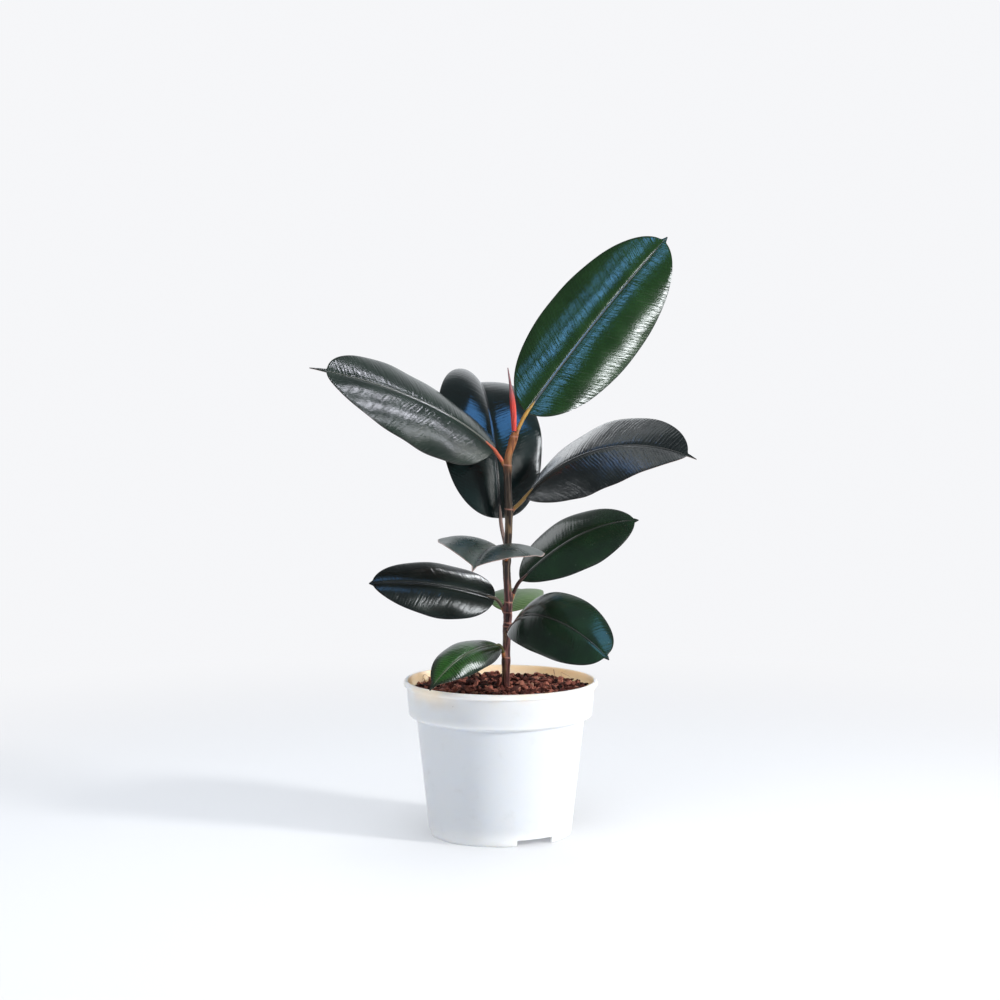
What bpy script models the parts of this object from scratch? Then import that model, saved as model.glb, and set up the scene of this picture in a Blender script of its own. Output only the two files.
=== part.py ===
"""A young rubber plant in a white nursery pot.

Metres, +Z up. The origin is the middle of the plant's footprint box, on the surface that the pot stands on.
The viewer is on the -Y side. Every piece is modelled about the pot's own axis and hangs on one empty there.
A leaf is one piece: its stalk, its midrib and its blade. The stem, the rolled sheath of the next leaf, the
soil, a loose twig on the soil and the pot are the other pieces.
"""

import math
from collections import namedtuple

import bmesh
import bpy
from mathutils import Matrix, Vector, noise

MM = 0.001
TOUCH_GAP = 0.3 * MM  # between pieces that touch
MERGE = 0.0001

# The pot's axis, seen from the middle of the footprint box
POT_AXIS = Vector((-2.5 * MM, 30 * MM, 0))

# Pot: a tapered tub with a deep collar, a rolled lip and a raised floor
POT_HEIGHT = 120 * MM
LIP_RADIUS = 75 * MM
LIP_DEPTH = 4.4 * MM
COLLAR_TOP_RADIUS = 72.8 * MM
COLLAR_FOOT_RADIUS = 71 * MM
COLLAR_FOOT_Z = 96 * MM
SHOULDER_Z = 91 * MM
SHOULDER_RADIUS = 65 * MM
BASE_RADIUS = 55 * MM
WALL = 1.6 * MM
FOOT_WIDTH = 2.6 * MM
FLOOR_Z = 6.2 * MM  # underside of the raised floor
POT_SIDES = 56
NOTCH_COUNT = 3  # openings in the foot that let water out
NOTCH_SPAN = math.radians(32.5)
NOTCH_HEIGHT = 5.3 * MM
FIRST_NOTCH = math.radians(-60.8)
DRAIN_COUNT = 6
DRAIN_RADIUS = 4 * MM
DRAIN_CIRCLE = 34 * MM
DRAIN_SIDES = 16

# Soil: coarse coir chips, heaped a little
SOIL_LEVEL = 111.5 * MM
SOIL_CELLS = 30
SOIL_HEAP = 1.6 * MM
SOIL_RELIEF = 2.2 * MM
SOIL_GRAIN = 7 * MM

# Stem: nearly straight, a little swollen at its joints. Points are (x, y, z) in mm about the pot's axis
STEM_ROUTE = ((4, 0, 66), (4, 0, 108), (4.3, 0, 139), (5.6, 0, 173), (5.4, 0, 190), (4.6, 0, 209), (6, 0, 234),
              (6.2, 0, 251), (5.4, 0, 274), (5.6, 0, 291), (8, 0, 300), (11.2, 0, 311))
STEM_FOOT_RADIUS = 3.3 * MM
STEM_TOP_RADIUS = 2.9 * MM
STEM_STEP = 3 * MM
SWELL = 0.16  # how much thicker the stem is at a joint
SWELL_REACH = 3.2 * MM
BEVEL_LEVEL = 2  # of a round bar: gives eight sides
STUB_REACH = 2.2 * MM  # how far a leaf's foot on the stem stands out of it

# Leaves
BLADE_THICKNESS = 0.8 * MM
STALK_RADIUS = 1.5 * MM
RIB_TIP_RADIUS = 0.5 * MM
RIB_SHARE = 0.93
DRIP_ROOT = 1.9 * MM
DRIP_POINT = 0.4 * MM
BLADE_ROWS = 14
BLADE_COLUMNS = 6
STALK_STEPS = 4
PUFF_CURL = 2.4  # brings the margin of a bulging half back down

# One row for each leaf, lengths in mm and angles in degrees. joint: height on the stem. bearing: where it
# points, 0 to the right and 90 away from the viewer. stalk, rise: length and slope of its stalk. drip: length
# of the drip tip. base, tip: how slender the blade's two ends are. lift, droop, bow: the blade's slope at its
# base, how far it turns down, and how late. sweep: how far it turns sideways. roll: lean about the midrib,
# right side up. fold, keel: how far both halves stand up from the midrib, at the base and at the tip. curl: how
# far both halves bend down towards the margin. puff: how far the left half bulges up, more towards the tip.
Leaf = namedtuple("Leaf", "name joint bearing stalk rise length width drip base tip "
                          "lift droop bow sweep roll fold keel curl puff")
LEAVES = (
    Leaf("leaf_01", 134, 236, 8, 60, 96, 35, 6, 0.6, 0.72, 8, 44, 1, 0, 25, 6, 6, 40, 0),
    Leaf("leaf_02", 158, -72, 5, 20, 118, 57, 7, 0.5, 0.4, 42, 93, 0.8, 62, -50, 4, 1, 39, 0),
    Leaf("leaf_03", 161, 80, 7, 45, 80, 42, 6, 0.45, 0.55, 34, 54, 0.8, 0, 0, 10, 10, 30, 0),
    Leaf("leaf_04", 169, 187, 8, 60, 104, 54, 8, 0.45, 0.6, 19, 24, 1, 0, 46, 5, 6, 38, 0),
    Leaf("leaf_05", 177, 18, 11, 66, 113, 53, 7, 0.68, 0.58, 42.5, 46, 1.4, 0, -45, -9, -5, 26, 0),
    Leaf("leaf_06", 212, -98, 16, 30, 158, 78, 10, 0.43, 0.6, 14, 26, 1, 0, 8, 28, 28, 56, 0),
    Leaf("leaf_07", 219, 112, 20, 55, 168, 86, 9, 0.43, 0.6, 81, 112, 1.8, -18, -8, 4, 14, 28, 76),
    Leaf("leaf_08", 249, -6, 10, 42, 146, 83, 8, 0.59, 0.55, 54, 79, 0.93, 0, -32, -22, 21, 18, 0),
    Leaf("leaf_09", 283, 189, 9, 56, 158, 79, 13, 0.35, 0.46, 53, 43, 0.5, 0, 39, -12, 18, 39, 0),
    Leaf("leaf_10", 305, 20, 14, 64, 181, 81, 7, 0.51, 0.55, 52.5, 7, 1, 0, -62, 11, 9, 46, 0),
)

# Rolled sheath of the next leaf
SHEATH_ROUTE = ((10.3, -1.6, 312.6), (9.9, -2.4, 325), (8.9, -3, 337), (7.4, -3.6, 348), (5.4, -4, 361))
SHEATH_RADII = (1.9, 2.4, 2, 1, 0.4)

# Loose twig on the soil
TWIG_ENDS = ((-15, -2, 116.2), (-3.4, -7.4, 115))
TWIG_RADIUS = 0.8 * MM


def clear_scene():
    """Start from nothing."""
    for thing in list(bpy.data.objects):
        bpy.data.objects.remove(thing)


def new_collection(name):
    group = bpy.data.collections.new(name)
    bpy.context.scene.collection.children.link(group)
    return group


def material(name, colour, roughness):
    finish = bpy.data.materials.new(name)
    finish.use_nodes = True
    shader = finish.node_tree.nodes["Principled BSDF"]
    shader.inputs["Base Color"].default_value = (*colour, 1)
    shader.inputs["Roughness"].default_value = roughness
    shader.inputs["Metallic"].default_value = 0
    return finish


def place(name, mesh, group, finish=None):
    """A new object on the pot's axis. A cutter has no finish of its own."""
    thing = bpy.data.objects.new(name, mesh)
    group.objects.link(thing)
    if finish:
        mesh.materials.append(finish)
        thing.parent = pot_axis
    else:
        thing.location = POT_AXIS
        thing.display_type = "WIRE"
        thing.hide_render = True
    return thing


def add_boolean(thing, cutter, operation, solver="EXACT"):
    step = thing.modifiers.new(operation.lower(), "BOOLEAN")
    step.operation = operation
    step.solver = solver
    step.object = cutter
    return step


def applied(thing):
    """The object's mesh with its modifiers applied, in the object's own space."""
    bpy.context.view_layer.update()
    view = thing.evaluated_get(bpy.context.evaluated_depsgraph_get())
    return bpy.data.meshes.new_from_object(view)


def round_bar(points, radii):
    """A closed bar of eight sides through the points, as a mesh."""
    curve = bpy.data.curves.new("bar", "CURVE")
    curve.dimensions = "3D"
    curve.bevel_depth = 1
    curve.bevel_resolution = BEVEL_LEVEL
    curve.use_fill_caps = True
    spline = curve.splines.new("POLY")
    spline.points.add(len(points) - 1)
    for knot, point, radius in zip(spline.points, points, radii):
        knot.co = (*point, 1)
        knot.radius = radius
    bar = bpy.data.objects.new("bar", curve)
    bpy.context.scene.collection.objects.link(bar)
    mesh = applied(bar)
    bpy.data.objects.remove(bar)
    shape = bmesh.new()
    shape.from_mesh(mesh)
    bmesh.ops.remove_doubles(shape, verts=shape.verts, dist=0.01 * MM)
    bmesh.ops.recalc_face_normals(shape, faces=shape.faces)
    shape.to_mesh(mesh)
    shape.free()
    return mesh


def shade(mesh, angle=40):
    mesh.shade_smooth()
    mesh.set_sharp_from_angle(angle=math.radians(angle))


def smooth_curve(knots, count):
    """Evenly many points on a smooth curve through the knots."""
    knots = [Vector(knot) for knot in knots]
    padded = [2 * knots[0] - knots[1], *knots, 2 * knots[-1] - knots[-2]]
    points = []
    for place_on in range(count + 1):
        along = place_on / count * (len(knots) - 1)
        piece = min(int(along), len(knots) - 2)
        part = along - piece
        before, start, end, after = padded[piece:piece + 4]
        points.append(0.5 * (2 * start + (end - before) * part
                             + (2 * before - 5 * start + 4 * end - after) * part ** 2
                             + (3 * start - before - 3 * end + after) * part ** 3))
    return points


# Pot

def pot_profile():
    """The pot's section, from the axis out over the floor, up the inside, over the lip and down outside."""
    slope = (SHOULDER_RADIUS - BASE_RADIUS) / SHOULDER_Z
    floor_top = FLOOR_Z + WALL
    lip_low = POT_HEIGHT - LIP_DEPTH
    collar_inner = COLLAR_TOP_RADIUS - WALL
    wall_inner = SHOULDER_RADIUS - WALL
    foot_inner = BASE_RADIUS - FOOT_WIDTH
    return (
        (0, floor_top),
        (BASE_RADIUS - WALL - 3 * MM, floor_top),
        (BASE_RADIUS - WALL + slope * (floor_top + 3 * MM), floor_top + 3 * MM),
        (wall_inner - slope * WALL, SHOULDER_Z - WALL),
        (wall_inner + 3 * MM, SHOULDER_Z + 0.4 * MM),
        (COLLAR_FOOT_RADIUS - WALL, COLLAR_FOOT_Z),
        (collar_inner, lip_low),
        (collar_inner, POT_HEIGHT - 1.2 * MM),
        (collar_inner + 0.8 * MM, POT_HEIGHT - 0.2 * MM),
        (LIP_RADIUS - 2 * MM, POT_HEIGHT),
        (LIP_RADIUS - 0.6 * MM, POT_HEIGHT - 0.7 * MM),
        (LIP_RADIUS, POT_HEIGHT - 2.1 * MM),
        (LIP_RADIUS - 0.5 * MM, lip_low + 0.6 * MM),
        (COLLAR_TOP_RADIUS, lip_low),
        (COLLAR_FOOT_RADIUS, COLLAR_FOOT_Z),
        (COLLAR_FOOT_RADIUS - 0.8 * MM, COLLAR_FOOT_Z - 2.2 * MM),
        (COLLAR_FOOT_RADIUS - 3 * MM, SHOULDER_Z + 0.9 * MM),
        (SHOULDER_RADIUS, SHOULDER_Z - 0.6 * MM),
        (BASE_RADIUS, 1.2 * MM),
        (BASE_RADIUS - 1.1 * MM, 0),
        (foot_inner, 0),
        (foot_inner, FLOOR_Z),
        (0, FLOOR_Z),
    )


def turned(name, profile, group, finish, sides):
    """A turned body. The profile starts and ends on the axis."""
    mesh = bpy.data.meshes.new(name)
    shape = bmesh.new()
    knots = [shape.verts.new((radius, 0, z)) for radius, z in profile]
    for start, end in zip(knots, knots[1:]):
        shape.edges.new((start, end))
    shape.to_mesh(mesh)
    shape.free()
    thing = place(name, mesh, group, finish)
    screw = thing.modifiers.new("turn", "SCREW")
    screw.steps = sides
    screw.render_steps = sides
    screw.use_merge_vertices = True
    screw.merge_threshold = MERGE
    return thing


def notch_cutter(bearing):
    """A block across the foot ring."""
    mesh = bpy.data.meshes.new("notch_cutter")
    shape = bmesh.new()
    width = 2 * BASE_RADIUS * math.sin(NOTCH_SPAN / 2)
    size = Matrix.Diagonal((12 * MM, width, 2 * NOTCH_HEIGHT, 1))
    out = Matrix.Rotation(bearing, 4, "Z") @ Matrix.Translation((BASE_RADIUS - 1.5 * MM, 0, 0))
    bmesh.ops.create_cube(shape, size=1, matrix=out @ size)
    shape.to_mesh(mesh)
    shape.free()
    return place("notch_cutter", mesh, cutters)


def drain_cutter(bearing):
    """A round hole through the floor."""
    mesh = bpy.data.meshes.new("drain_cutter")
    shape = bmesh.new()
    out = Matrix.Rotation(bearing, 4, "Z") @ Matrix.Translation((DRAIN_CIRCLE, 0, FLOOR_Z))
    bmesh.ops.create_cone(shape, cap_ends=True, segments=DRAIN_SIDES, radius1=DRAIN_RADIUS, radius2=DRAIN_RADIUS,
                          depth=6 * WALL, matrix=out)
    shape.to_mesh(mesh)
    shape.free()
    return place("drain_cutter", mesh, cutters)


def make_pot():
    pot = turned("pot", pot_profile(), plant, white_plastic, POT_SIDES)
    for index in range(NOTCH_COUNT):
        add_boolean(pot, notch_cutter(FIRST_NOTCH + index * math.tau / NOTCH_COUNT), "DIFFERENCE")
    for index in range(DRAIN_COUNT):
        add_boolean(pot, drain_cutter((index + 0.5) * math.tau / DRAIN_COUNT), "DIFFERENCE")


# Soil

def soil_height(x, y):
    """The heaped, lumpy top of the soil at a place about the pot's axis."""
    heap = SOIL_HEAP * math.cos(math.hypot(x, y) / COLLAR_TOP_RADIUS * math.pi / 2)
    lumps = noise.noise(Vector((x, y, 0)) / SOIL_GRAIN) + 0.6 * noise.noise(Vector((y, x, 1)) / (2.6 * SOIL_GRAIN))
    return SOIL_LEVEL + heap + SOIL_RELIEF * lumps


def make_soil():
    """A turned body that fills the pot, cut off along the lumpy top, with a plain hole for the stem."""
    slope = (SHOULDER_RADIUS - BASE_RADIUS) / SHOULDER_Z
    bottom = FLOOR_Z + WALL + TOUCH_GAP
    gap = 1.5 * TOUCH_GAP
    inner_foot = BASE_RADIUS - WALL - gap
    shoulder = SHOULDER_RADIUS - WALL - gap - slope * WALL
    collar = COLLAR_FOOT_RADIUS - WALL - gap
    top = POT_HEIGHT + 10 * MM
    fill = (
        (0, top),
        (collar + (top - COLLAR_FOOT_Z) * 0.02, top),
        (collar, COLLAR_FOOT_Z),
        (shoulder + 3 * MM, SHOULDER_Z + 0.9 * MM),
        (shoulder, SHOULDER_Z - WALL),
        (inner_foot + slope * (bottom + 3.5 * MM) - 0.1 * MM, bottom + 3.5 * MM),
        (inner_foot - 3.3 * MM, bottom),
        (0, bottom),
    )
    soil = turned("soil", fill, plant, coir, POT_SIDES)
    block = bmesh.new()
    bmesh.ops.create_grid(block, x_segments=SOIL_CELLS, y_segments=SOIL_CELLS, size=LIP_RADIUS + 2 * MM)
    for corner in block.verts:
        corner.co.z = soil_height(corner.co.x, corner.co.y)
    bmesh.ops.triangulate(block, faces=block.faces)
    sides = bmesh.ops.extrude_face_region(block, geom=block.faces[:])
    for corner in sides["geom"]:
        if isinstance(corner, bmesh.types.BMVert):
            corner.co.z = -5 * MM
    bmesh.ops.recalc_face_normals(block, faces=block.faces)
    mesh = bpy.data.meshes.new("soil_top_cutter")
    block.to_mesh(mesh)
    block.free()
    add_boolean(soil, place("soil_top_cutter", mesh, cutters), "INTERSECT")
    foot = Vector(STEM_ROUTE[0]) * MM
    hole = bmesh.new()
    depth = POT_HEIGHT + 10 * MM - foot.z
    middle = Matrix.Translation((foot.x, foot.y, foot.z - TOUCH_GAP + depth / 2))
    bmesh.ops.create_cone(hole, cap_ends=True, segments=16, radius1=STEM_FOOT_RADIUS + 2 * TOUCH_GAP,
                          radius2=STEM_FOOT_RADIUS + 2 * TOUCH_GAP, depth=depth, matrix=middle)
    mesh = bpy.data.meshes.new("stem_hole_cutter")
    hole.to_mesh(mesh)
    hole.free()
    add_boolean(soil, place("stem_hole_cutter", mesh, cutters), "DIFFERENCE")


# Stem

def direction(bearing, slope):
    """A unit vector from a bearing and a slope in degrees."""
    turn, tilt = math.radians(bearing), math.radians(slope)
    return Vector((math.cos(turn) * math.cos(tilt), math.sin(turn) * math.cos(tilt), math.sin(tilt)))


def stem_line():
    count = round((STEM_ROUTE[-1][2] - STEM_ROUTE[0][2]) * MM / STEM_STEP)
    return [point * MM for point in smooth_curve(STEM_ROUTE, count)]


def stem_radius(z):
    """The stem thins slowly upwards and swells at each joint above the soil."""
    low, high = STEM_ROUTE[0][2] * MM, STEM_ROUTE[-1][2] * MM
    plain = STEM_FOOT_RADIUS + (STEM_TOP_RADIUS - STEM_FOOT_RADIUS) * (z - low) / (high - low)
    swell = max(math.exp(-((z - leaf.joint * MM) / SWELL_REACH) ** 2) for leaf in LEAVES)
    return plain * (1 + SWELL * swell)


def on_stem(height):
    """The middle of the stem at a height in mm."""
    line = stem_line()
    for low, high in zip(line, line[1:]):
        if low.z <= height * MM <= high.z + MM * 0.01:
            return low.lerp(high, (height * MM - low.z) / (high.z - low.z))
    return line[-1]


def stalk_start(leaf):
    """Where a leaf's stalk meets its foot on the stem."""
    way = direction(leaf.bearing, leaf.rise)
    return on_stem(leaf.joint) + way * (stem_radius(leaf.joint * MM) / math.hypot(way.x, way.y) + STUB_REACH)


def make_stem():
    line = stem_line()
    radii = [stem_radius(point.z) for point in line]
    stem = place("stem", round_bar(line, radii), plant, bark)
    for leaf in LEAVES:
        foot = on_stem(leaf.joint)
        end = stalk_start(leaf)
        stub = round_bar([foot, foot.lerp(end, 0.5), end], [1.2 * STALK_RADIUS, 1.35 * STALK_RADIUS, STALK_RADIUS])
        cutter = place("stub", stub, cutters)
        add_boolean(stem, cutter, "UNION")
    shade(stem.data)


# Leaves

def blade_half_width(leaf, share):
    """Half the blade's width at a share of its length, with the drawn-out drip tip."""
    body = 1 - leaf.drip / leaf.length
    widest = leaf.base / (leaf.base + leaf.tip)
    most = widest ** leaf.base * (1 - widest) ** leaf.tip
    along = min(max(share / body, 0), 1)
    width = leaf.width / 2 * MM * along ** leaf.base * (1 - along) ** leaf.tip / most
    drip = DRIP_POINT + (DRIP_ROOT - DRIP_POINT) * min(1, (1 - share) / (1 - body))
    return max(width, min(drip, STALK_RADIUS + share * leaf.length * MM))


def blade_share(step, steps):
    """Rows lie closer together towards both ends."""
    return (1 - math.cos(math.pi * step / steps)) / 2


def leaf_line(leaf, steps):
    """The stalk's points, and for each row of the blade its place, direction and share of the length."""
    point = stalk_start(leaf) + direction(leaf.bearing, leaf.rise) * TOUCH_GAP
    stalk = [point]
    for step in range(STALK_STEPS):
        part = (step + 0.5) / STALK_STEPS
        slope = leaf.rise + (leaf.lift - leaf.rise) * part ** 2
        point = point + direction(leaf.bearing, slope) * leaf.stalk * MM / STALK_STEPS
        stalk.append(point)
    rows = []
    fine = 8
    before = 0
    for step in range(steps + 1):
        share = blade_share(step, steps)
        for piece in range(fine):
            middle = before + (share - before) * (piece + 0.5) / fine
            point = point + blade_direction(leaf, middle) * (share - before) * leaf.length * MM / fine
        rows.append((point, blade_direction(leaf, share), share))
        before = share
    return stalk, rows


def blade_direction(leaf, share):
    return direction(leaf.bearing + leaf.sweep * share, leaf.lift - leaf.droop * share ** leaf.bow)


def blade_point(leaf, row, across):
    """A point of the blade's middle surface. across runs from -1, the left margin, to 1, the right one."""
    middle, ahead, share = row
    side = ahead.cross(Vector((0, 0, 1))).normalized()
    side.rotate(Matrix.Rotation(math.radians(-leaf.roll), 3, ahead))
    up = side.cross(ahead)
    half = blade_half_width(leaf, share)
    reach = abs(across) * half / (leaf.width / 2 * MM)
    puff = leaf.puff * share ** 3 if across < 0 else 0
    fold = leaf.fold + (leaf.keel - leaf.fold) * share + puff
    curl = leaf.curl + PUFF_CURL * puff
    bend = math.radians(fold) * reach - math.radians(curl) * reach ** 2 / 2
    slope = bend / reach if reach > 0.001 else 0
    distance = abs(across) * half
    out = side if across > 0 else -side
    return middle + out * distance * math.cos(slope) + up * distance * math.sin(slope)


def make_leaf(leaf, finish):
    """A thin blade on a tapering rib that stands out of its underside and runs on as the stalk."""
    stalk, rows = leaf_line(leaf, BLADE_ROWS)
    shape = bmesh.new()
    bmesh.ops.create_grid(shape, x_segments=BLADE_COLUMNS, y_segments=BLADE_ROWS, size=1)
    for corner in shape.verts:
        row = rows[round((corner.co.y + 1) / 2 * BLADE_ROWS)]
        corner.co = blade_point(leaf, row, round(corner.co.x, 5))
    bmesh.ops.triangulate(shape, faces=shape.faces)
    mesh = bpy.data.meshes.new(leaf.name)
    shape.to_mesh(mesh)
    shape.free()
    mesh.shade_smooth()
    blade = place(leaf.name, mesh, plant, finish)
    skin = blade.modifiers.new("thickness", "SOLIDIFY")
    skin.thickness = BLADE_THICKNESS
    skin.offset = 0
    rib_points = list(stalk)
    rib_radii = [STALK_RADIUS] * len(stalk)
    for index, (point, ahead, share) in enumerate(rows[1:]):
        if share < RIB_SHARE:
            radius = STALK_RADIUS + (RIB_TIP_RADIUS - STALK_RADIUS) * (share / RIB_SHARE) ** 0.6
            side = (blade_point(leaf, rows[index + 1], 0.01) - point).normalized()
            under = ahead.cross(side).normalized()
            rib_points.append(point + under * (radius - 0.1 * MM) * min(1, share * 12))
            rib_radii.append(radius)
    rib = place("rib", round_bar(rib_points, rib_radii), cutters)
    # A rib lies nearly flush with its blade, where the exact solver can lose the whole leaf
    add_boolean(blade, rib, "UNION", solver="MANIFOLD")


# Bud sheath and twig

def make_sheath():
    route = [Vector(point) * MM for point in SHEATH_ROUTE]
    sheath = place("bud_sheath", round_bar(route, [radius * MM for radius in SHEATH_RADII]), plant, coral)
    shade(sheath.data)


def make_twig():
    start, end = (Vector(point) * MM for point in TWIG_ENDS)
    bend = start.lerp(end, 0.45) + Vector((0, 0, 0.7 * MM))
    twig = place("twig", round_bar([start, bend, end], [0.8 * TWIG_RADIUS, TWIG_RADIUS, 0.7 * TWIG_RADIUS]), plant,
                 bark)
    shade(twig.data)


clear_scene()
plant = new_collection("potted_rubber_plant")
cutters = new_collection("cutters")
pot_axis = bpy.data.objects.new("pot_axis", None)
pot_axis.location = POT_AXIS
plant.objects.link(pot_axis)

white_plastic = material("white plastic", (0.86, 0.86, 0.85), 0.45)
coir = material("coir", (0.09, 0.032, 0.018), 0.95)
bark = material("bark", (0.12, 0.05, 0.03), 0.6)
dark_leaf = material("dark leaf", (0.012, 0.03, 0.018), 0.25)
green_leaf = material("green leaf", (0.03, 0.12, 0.03), 0.3)
pale_leaf = material("pale leaf", (0.12, 0.28, 0.09), 0.4)
coral = material("coral", (0.55, 0.05, 0.03), 0.4)
FINISHES = {"leaf_01": green_leaf, "leaf_03": pale_leaf, "leaf_10": green_leaf}

make_pot()
make_soil()
make_stem()
for each_leaf in LEAVES:
    make_leaf(each_leaf, FINISHES.get(each_leaf.name, dark_leaf))
make_sheath()
make_twig()
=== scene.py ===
# %% [markdown]
# # A young rubber plant in a white nursery pot
#
# This lesson dresses a plain model of the plant in the shapes, colours and light of the real one. The plain
# model is loaded first and stays as it is: every new piece stands exactly where its plain node stands.
# Lengths are in metres, +Z is up and the viewer is on the -Y side.

# %% The plain model
import math
from collections import namedtuple

import bmesh
import bpy
import numpy as np
from mathutils import Matrix, Vector, noise


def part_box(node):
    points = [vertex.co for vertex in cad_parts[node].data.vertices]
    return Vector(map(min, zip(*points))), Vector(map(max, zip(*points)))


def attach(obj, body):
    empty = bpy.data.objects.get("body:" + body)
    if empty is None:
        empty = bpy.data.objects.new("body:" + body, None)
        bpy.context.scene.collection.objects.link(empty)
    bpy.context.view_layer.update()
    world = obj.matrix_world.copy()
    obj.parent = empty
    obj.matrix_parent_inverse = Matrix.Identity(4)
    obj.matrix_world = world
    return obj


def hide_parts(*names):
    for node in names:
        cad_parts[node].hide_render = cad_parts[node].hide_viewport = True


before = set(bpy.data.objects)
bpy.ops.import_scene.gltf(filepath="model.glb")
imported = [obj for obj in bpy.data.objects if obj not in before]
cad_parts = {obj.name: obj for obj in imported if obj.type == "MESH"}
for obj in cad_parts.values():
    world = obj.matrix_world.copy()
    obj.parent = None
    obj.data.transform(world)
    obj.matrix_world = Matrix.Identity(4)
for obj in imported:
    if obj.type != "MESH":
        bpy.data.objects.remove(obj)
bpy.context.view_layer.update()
MM = 0.001

pot_low, pot_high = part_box("pot")
AXIS = Vector(((pot_low.x + pot_high.x) / 2, (pot_low.y + pot_high.y) / 2, 0))
print("nodes of the plain model:", len(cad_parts))
print("the pot's axis in mm:", [round(value / MM, 2) for value in AXIS])

# %% [markdown]
# ## Small helpers
#
# An operator acts on whatever is selected, and loading a model leaves all of it selected. So each step starts
# by choosing the one piece that it works on. A finished piece is named, given its finishes and made to ride on
# the model's only body, and its plain node is hidden.

# %% Choosing a piece, applying a modifier, handing a piece over
def choose(*pieces):
    bpy.ops.object.select_all(action="DESELECT")
    for piece in pieces:
        piece.select_set(True)
    bpy.context.view_layer.objects.active = pieces[0]


def apply_modifier(piece, kind, **settings):
    choose(piece)
    step = piece.modifiers.new(kind.lower(), kind)
    for name, value in settings.items():
        setattr(step, name, value)
    bpy.ops.object.modifier_apply(modifier=step.name)


def hand_over(piece, name, node, slot, *finishes):
    choose(piece)
    bpy.ops.object.transform_apply(location=True, rotation=True, scale=True)
    piece.name = name
    piece.data.name = name
    for finish in finishes:
        piece.data.materials.append(finish)
    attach(piece, "root")
    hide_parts(node)
    piece.data.calc_loop_triangles()
    print(f"{name}: {len(piece.data.loop_triangles)} triangles")
    return piece


def joined(*pieces):
    choose(*pieces)
    bpy.ops.object.join()
    return pieces[0]


# %% Helpers for materials
def new_finish(name, **sockets):
    """A material with its shader's plain numbers set."""
    finish = bpy.data.materials.new(name)
    finish.use_nodes = True
    shader = finish.node_tree.nodes["Principled BSDF"]
    for socket, value in sockets.items():
        shader.inputs[socket.replace("_", " ")].default_value = value
    return finish, shader


def add_node(finish, kind, inputs=(), **settings):
    """One more node. Each input is a socket's name or number with a value or another node's output."""
    made = finish.node_tree.nodes.new(kind)
    for name, value in settings.items():
        setattr(made, name, value)
    for socket, value in dict(inputs).items():
        if isinstance(value, bpy.types.NodeSocket):
            finish.node_tree.links.new(value, made.inputs[socket])
        else:
            made.inputs[socket].default_value = value
    return made


def link(finish, output, shader, socket):
    finish.node_tree.links.new(output, shader.inputs[socket])


def sums(finish, operation, first, second=0.0, third=0.0, clamp=False):
    """A Math node's output."""
    return add_node(finish, "ShaderNodeMath", {0: first, 1: second, 2: third}, operation=operation,
                    use_clamp=clamp).outputs[0]


def blended(finish, share, low, high):
    """A colour that goes from low to high with share."""
    mix = add_node(finish, "ShaderNodeMix", {"Factor": share}, data_type="RGBA")
    for socket, value in ((6, low), (7, high)):
        if isinstance(value, bpy.types.NodeSocket):
            finish.node_tree.links.new(value, mix.inputs[socket])
        else:
            mix.inputs[socket].default_value = (*value, 1)
    return mix.outputs[2]


def spread(finish, value, low, high, new_low=0.0, new_high=1.0, smooth=True):
    """value, brought from the range low to high into a new range."""
    kind = "SMOOTHSTEP" if smooth else "LINEAR"
    return add_node(finish, "ShaderNodeMapRange", {"Value": value, "From Min": low, "From Max": high,
                                                   "To Min": new_low, "To Max": new_high},
                    interpolation_type=kind).outputs[0]


def grain(finish, vector, scale, detail=2.0, roughness=0.5, stretch=(1, 1, 1)):
    """Noise on a vector, stretched along an axis if wanted."""
    mapped = add_node(finish, "ShaderNodeMapping", {"Vector": vector, "Scale": stretch}).outputs[0]
    return add_node(finish, "ShaderNodeTexNoise", {"Vector": mapped, "Scale": scale, "Detail": detail,
                                                   "Roughness": roughness}).outputs[0]


def relief(finish, shader, height, distance, strength=1.0):
    """A bump on the shader's normal and its coat's. distance is the real height in metres."""
    bump = add_node(finish, "ShaderNodeBump", {"Height": height, "Distance": distance, "Strength": strength})
    link(finish, bump.outputs[0], shader, "Normal")
    link(finish, bump.outputs[0], shader, "Coat Normal")


# %% [markdown]
# ## The pot
#
# A nursery pot is one injection-moulded shell: a tapered tub, a step out to a deep collar, and a rolled lip.
# A lathe turns a profile round an axis, and in edit mode the same shape grows from a circle: extrude the ring,
# move it up and scale it. That keeps every ring even, so the long highlights on the plastic stay clean. Each
# corner of the profile is rounded first, because a moulded edge is never sharp.

# %% The pot's profile
LIP_RADIUS = (pot_high.x - pot_low.x) / 2
POT_HEIGHT = pot_high.z
WALL = 1.6 * MM
POT_SIDES = 160
FLOOR_LOW = 6.2 * MM
# radius, height and rounding of each corner in mm, from the underside out over the foot, up and back inside
POT_CORNERS = ((52.4, 6.2, 0.5), (52.4, 0, 0.3), (53.9, 0, 0.5), (55.1, 1.3, 0.9), (65, 90.6, 1.2),
               (68.4, 91.9, 0.8), (70.6, 93.2, 0.5), (71, 95, 0.5), (72.7, 115.4, 0.5), (74.6, 115.6, 0.9),
               (75, 118, 1.4), (74.3, 120, 0.8), (71.9, 120, 0.9), (71.2, 117.5, 1.4), (69.4, 96, 2),
               (66.5, 93.4, 1.5), (63.5, 91.4, 1.5), (54.5, 10.4, 2.4), (51.5, 7.8, 1.2))


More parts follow.
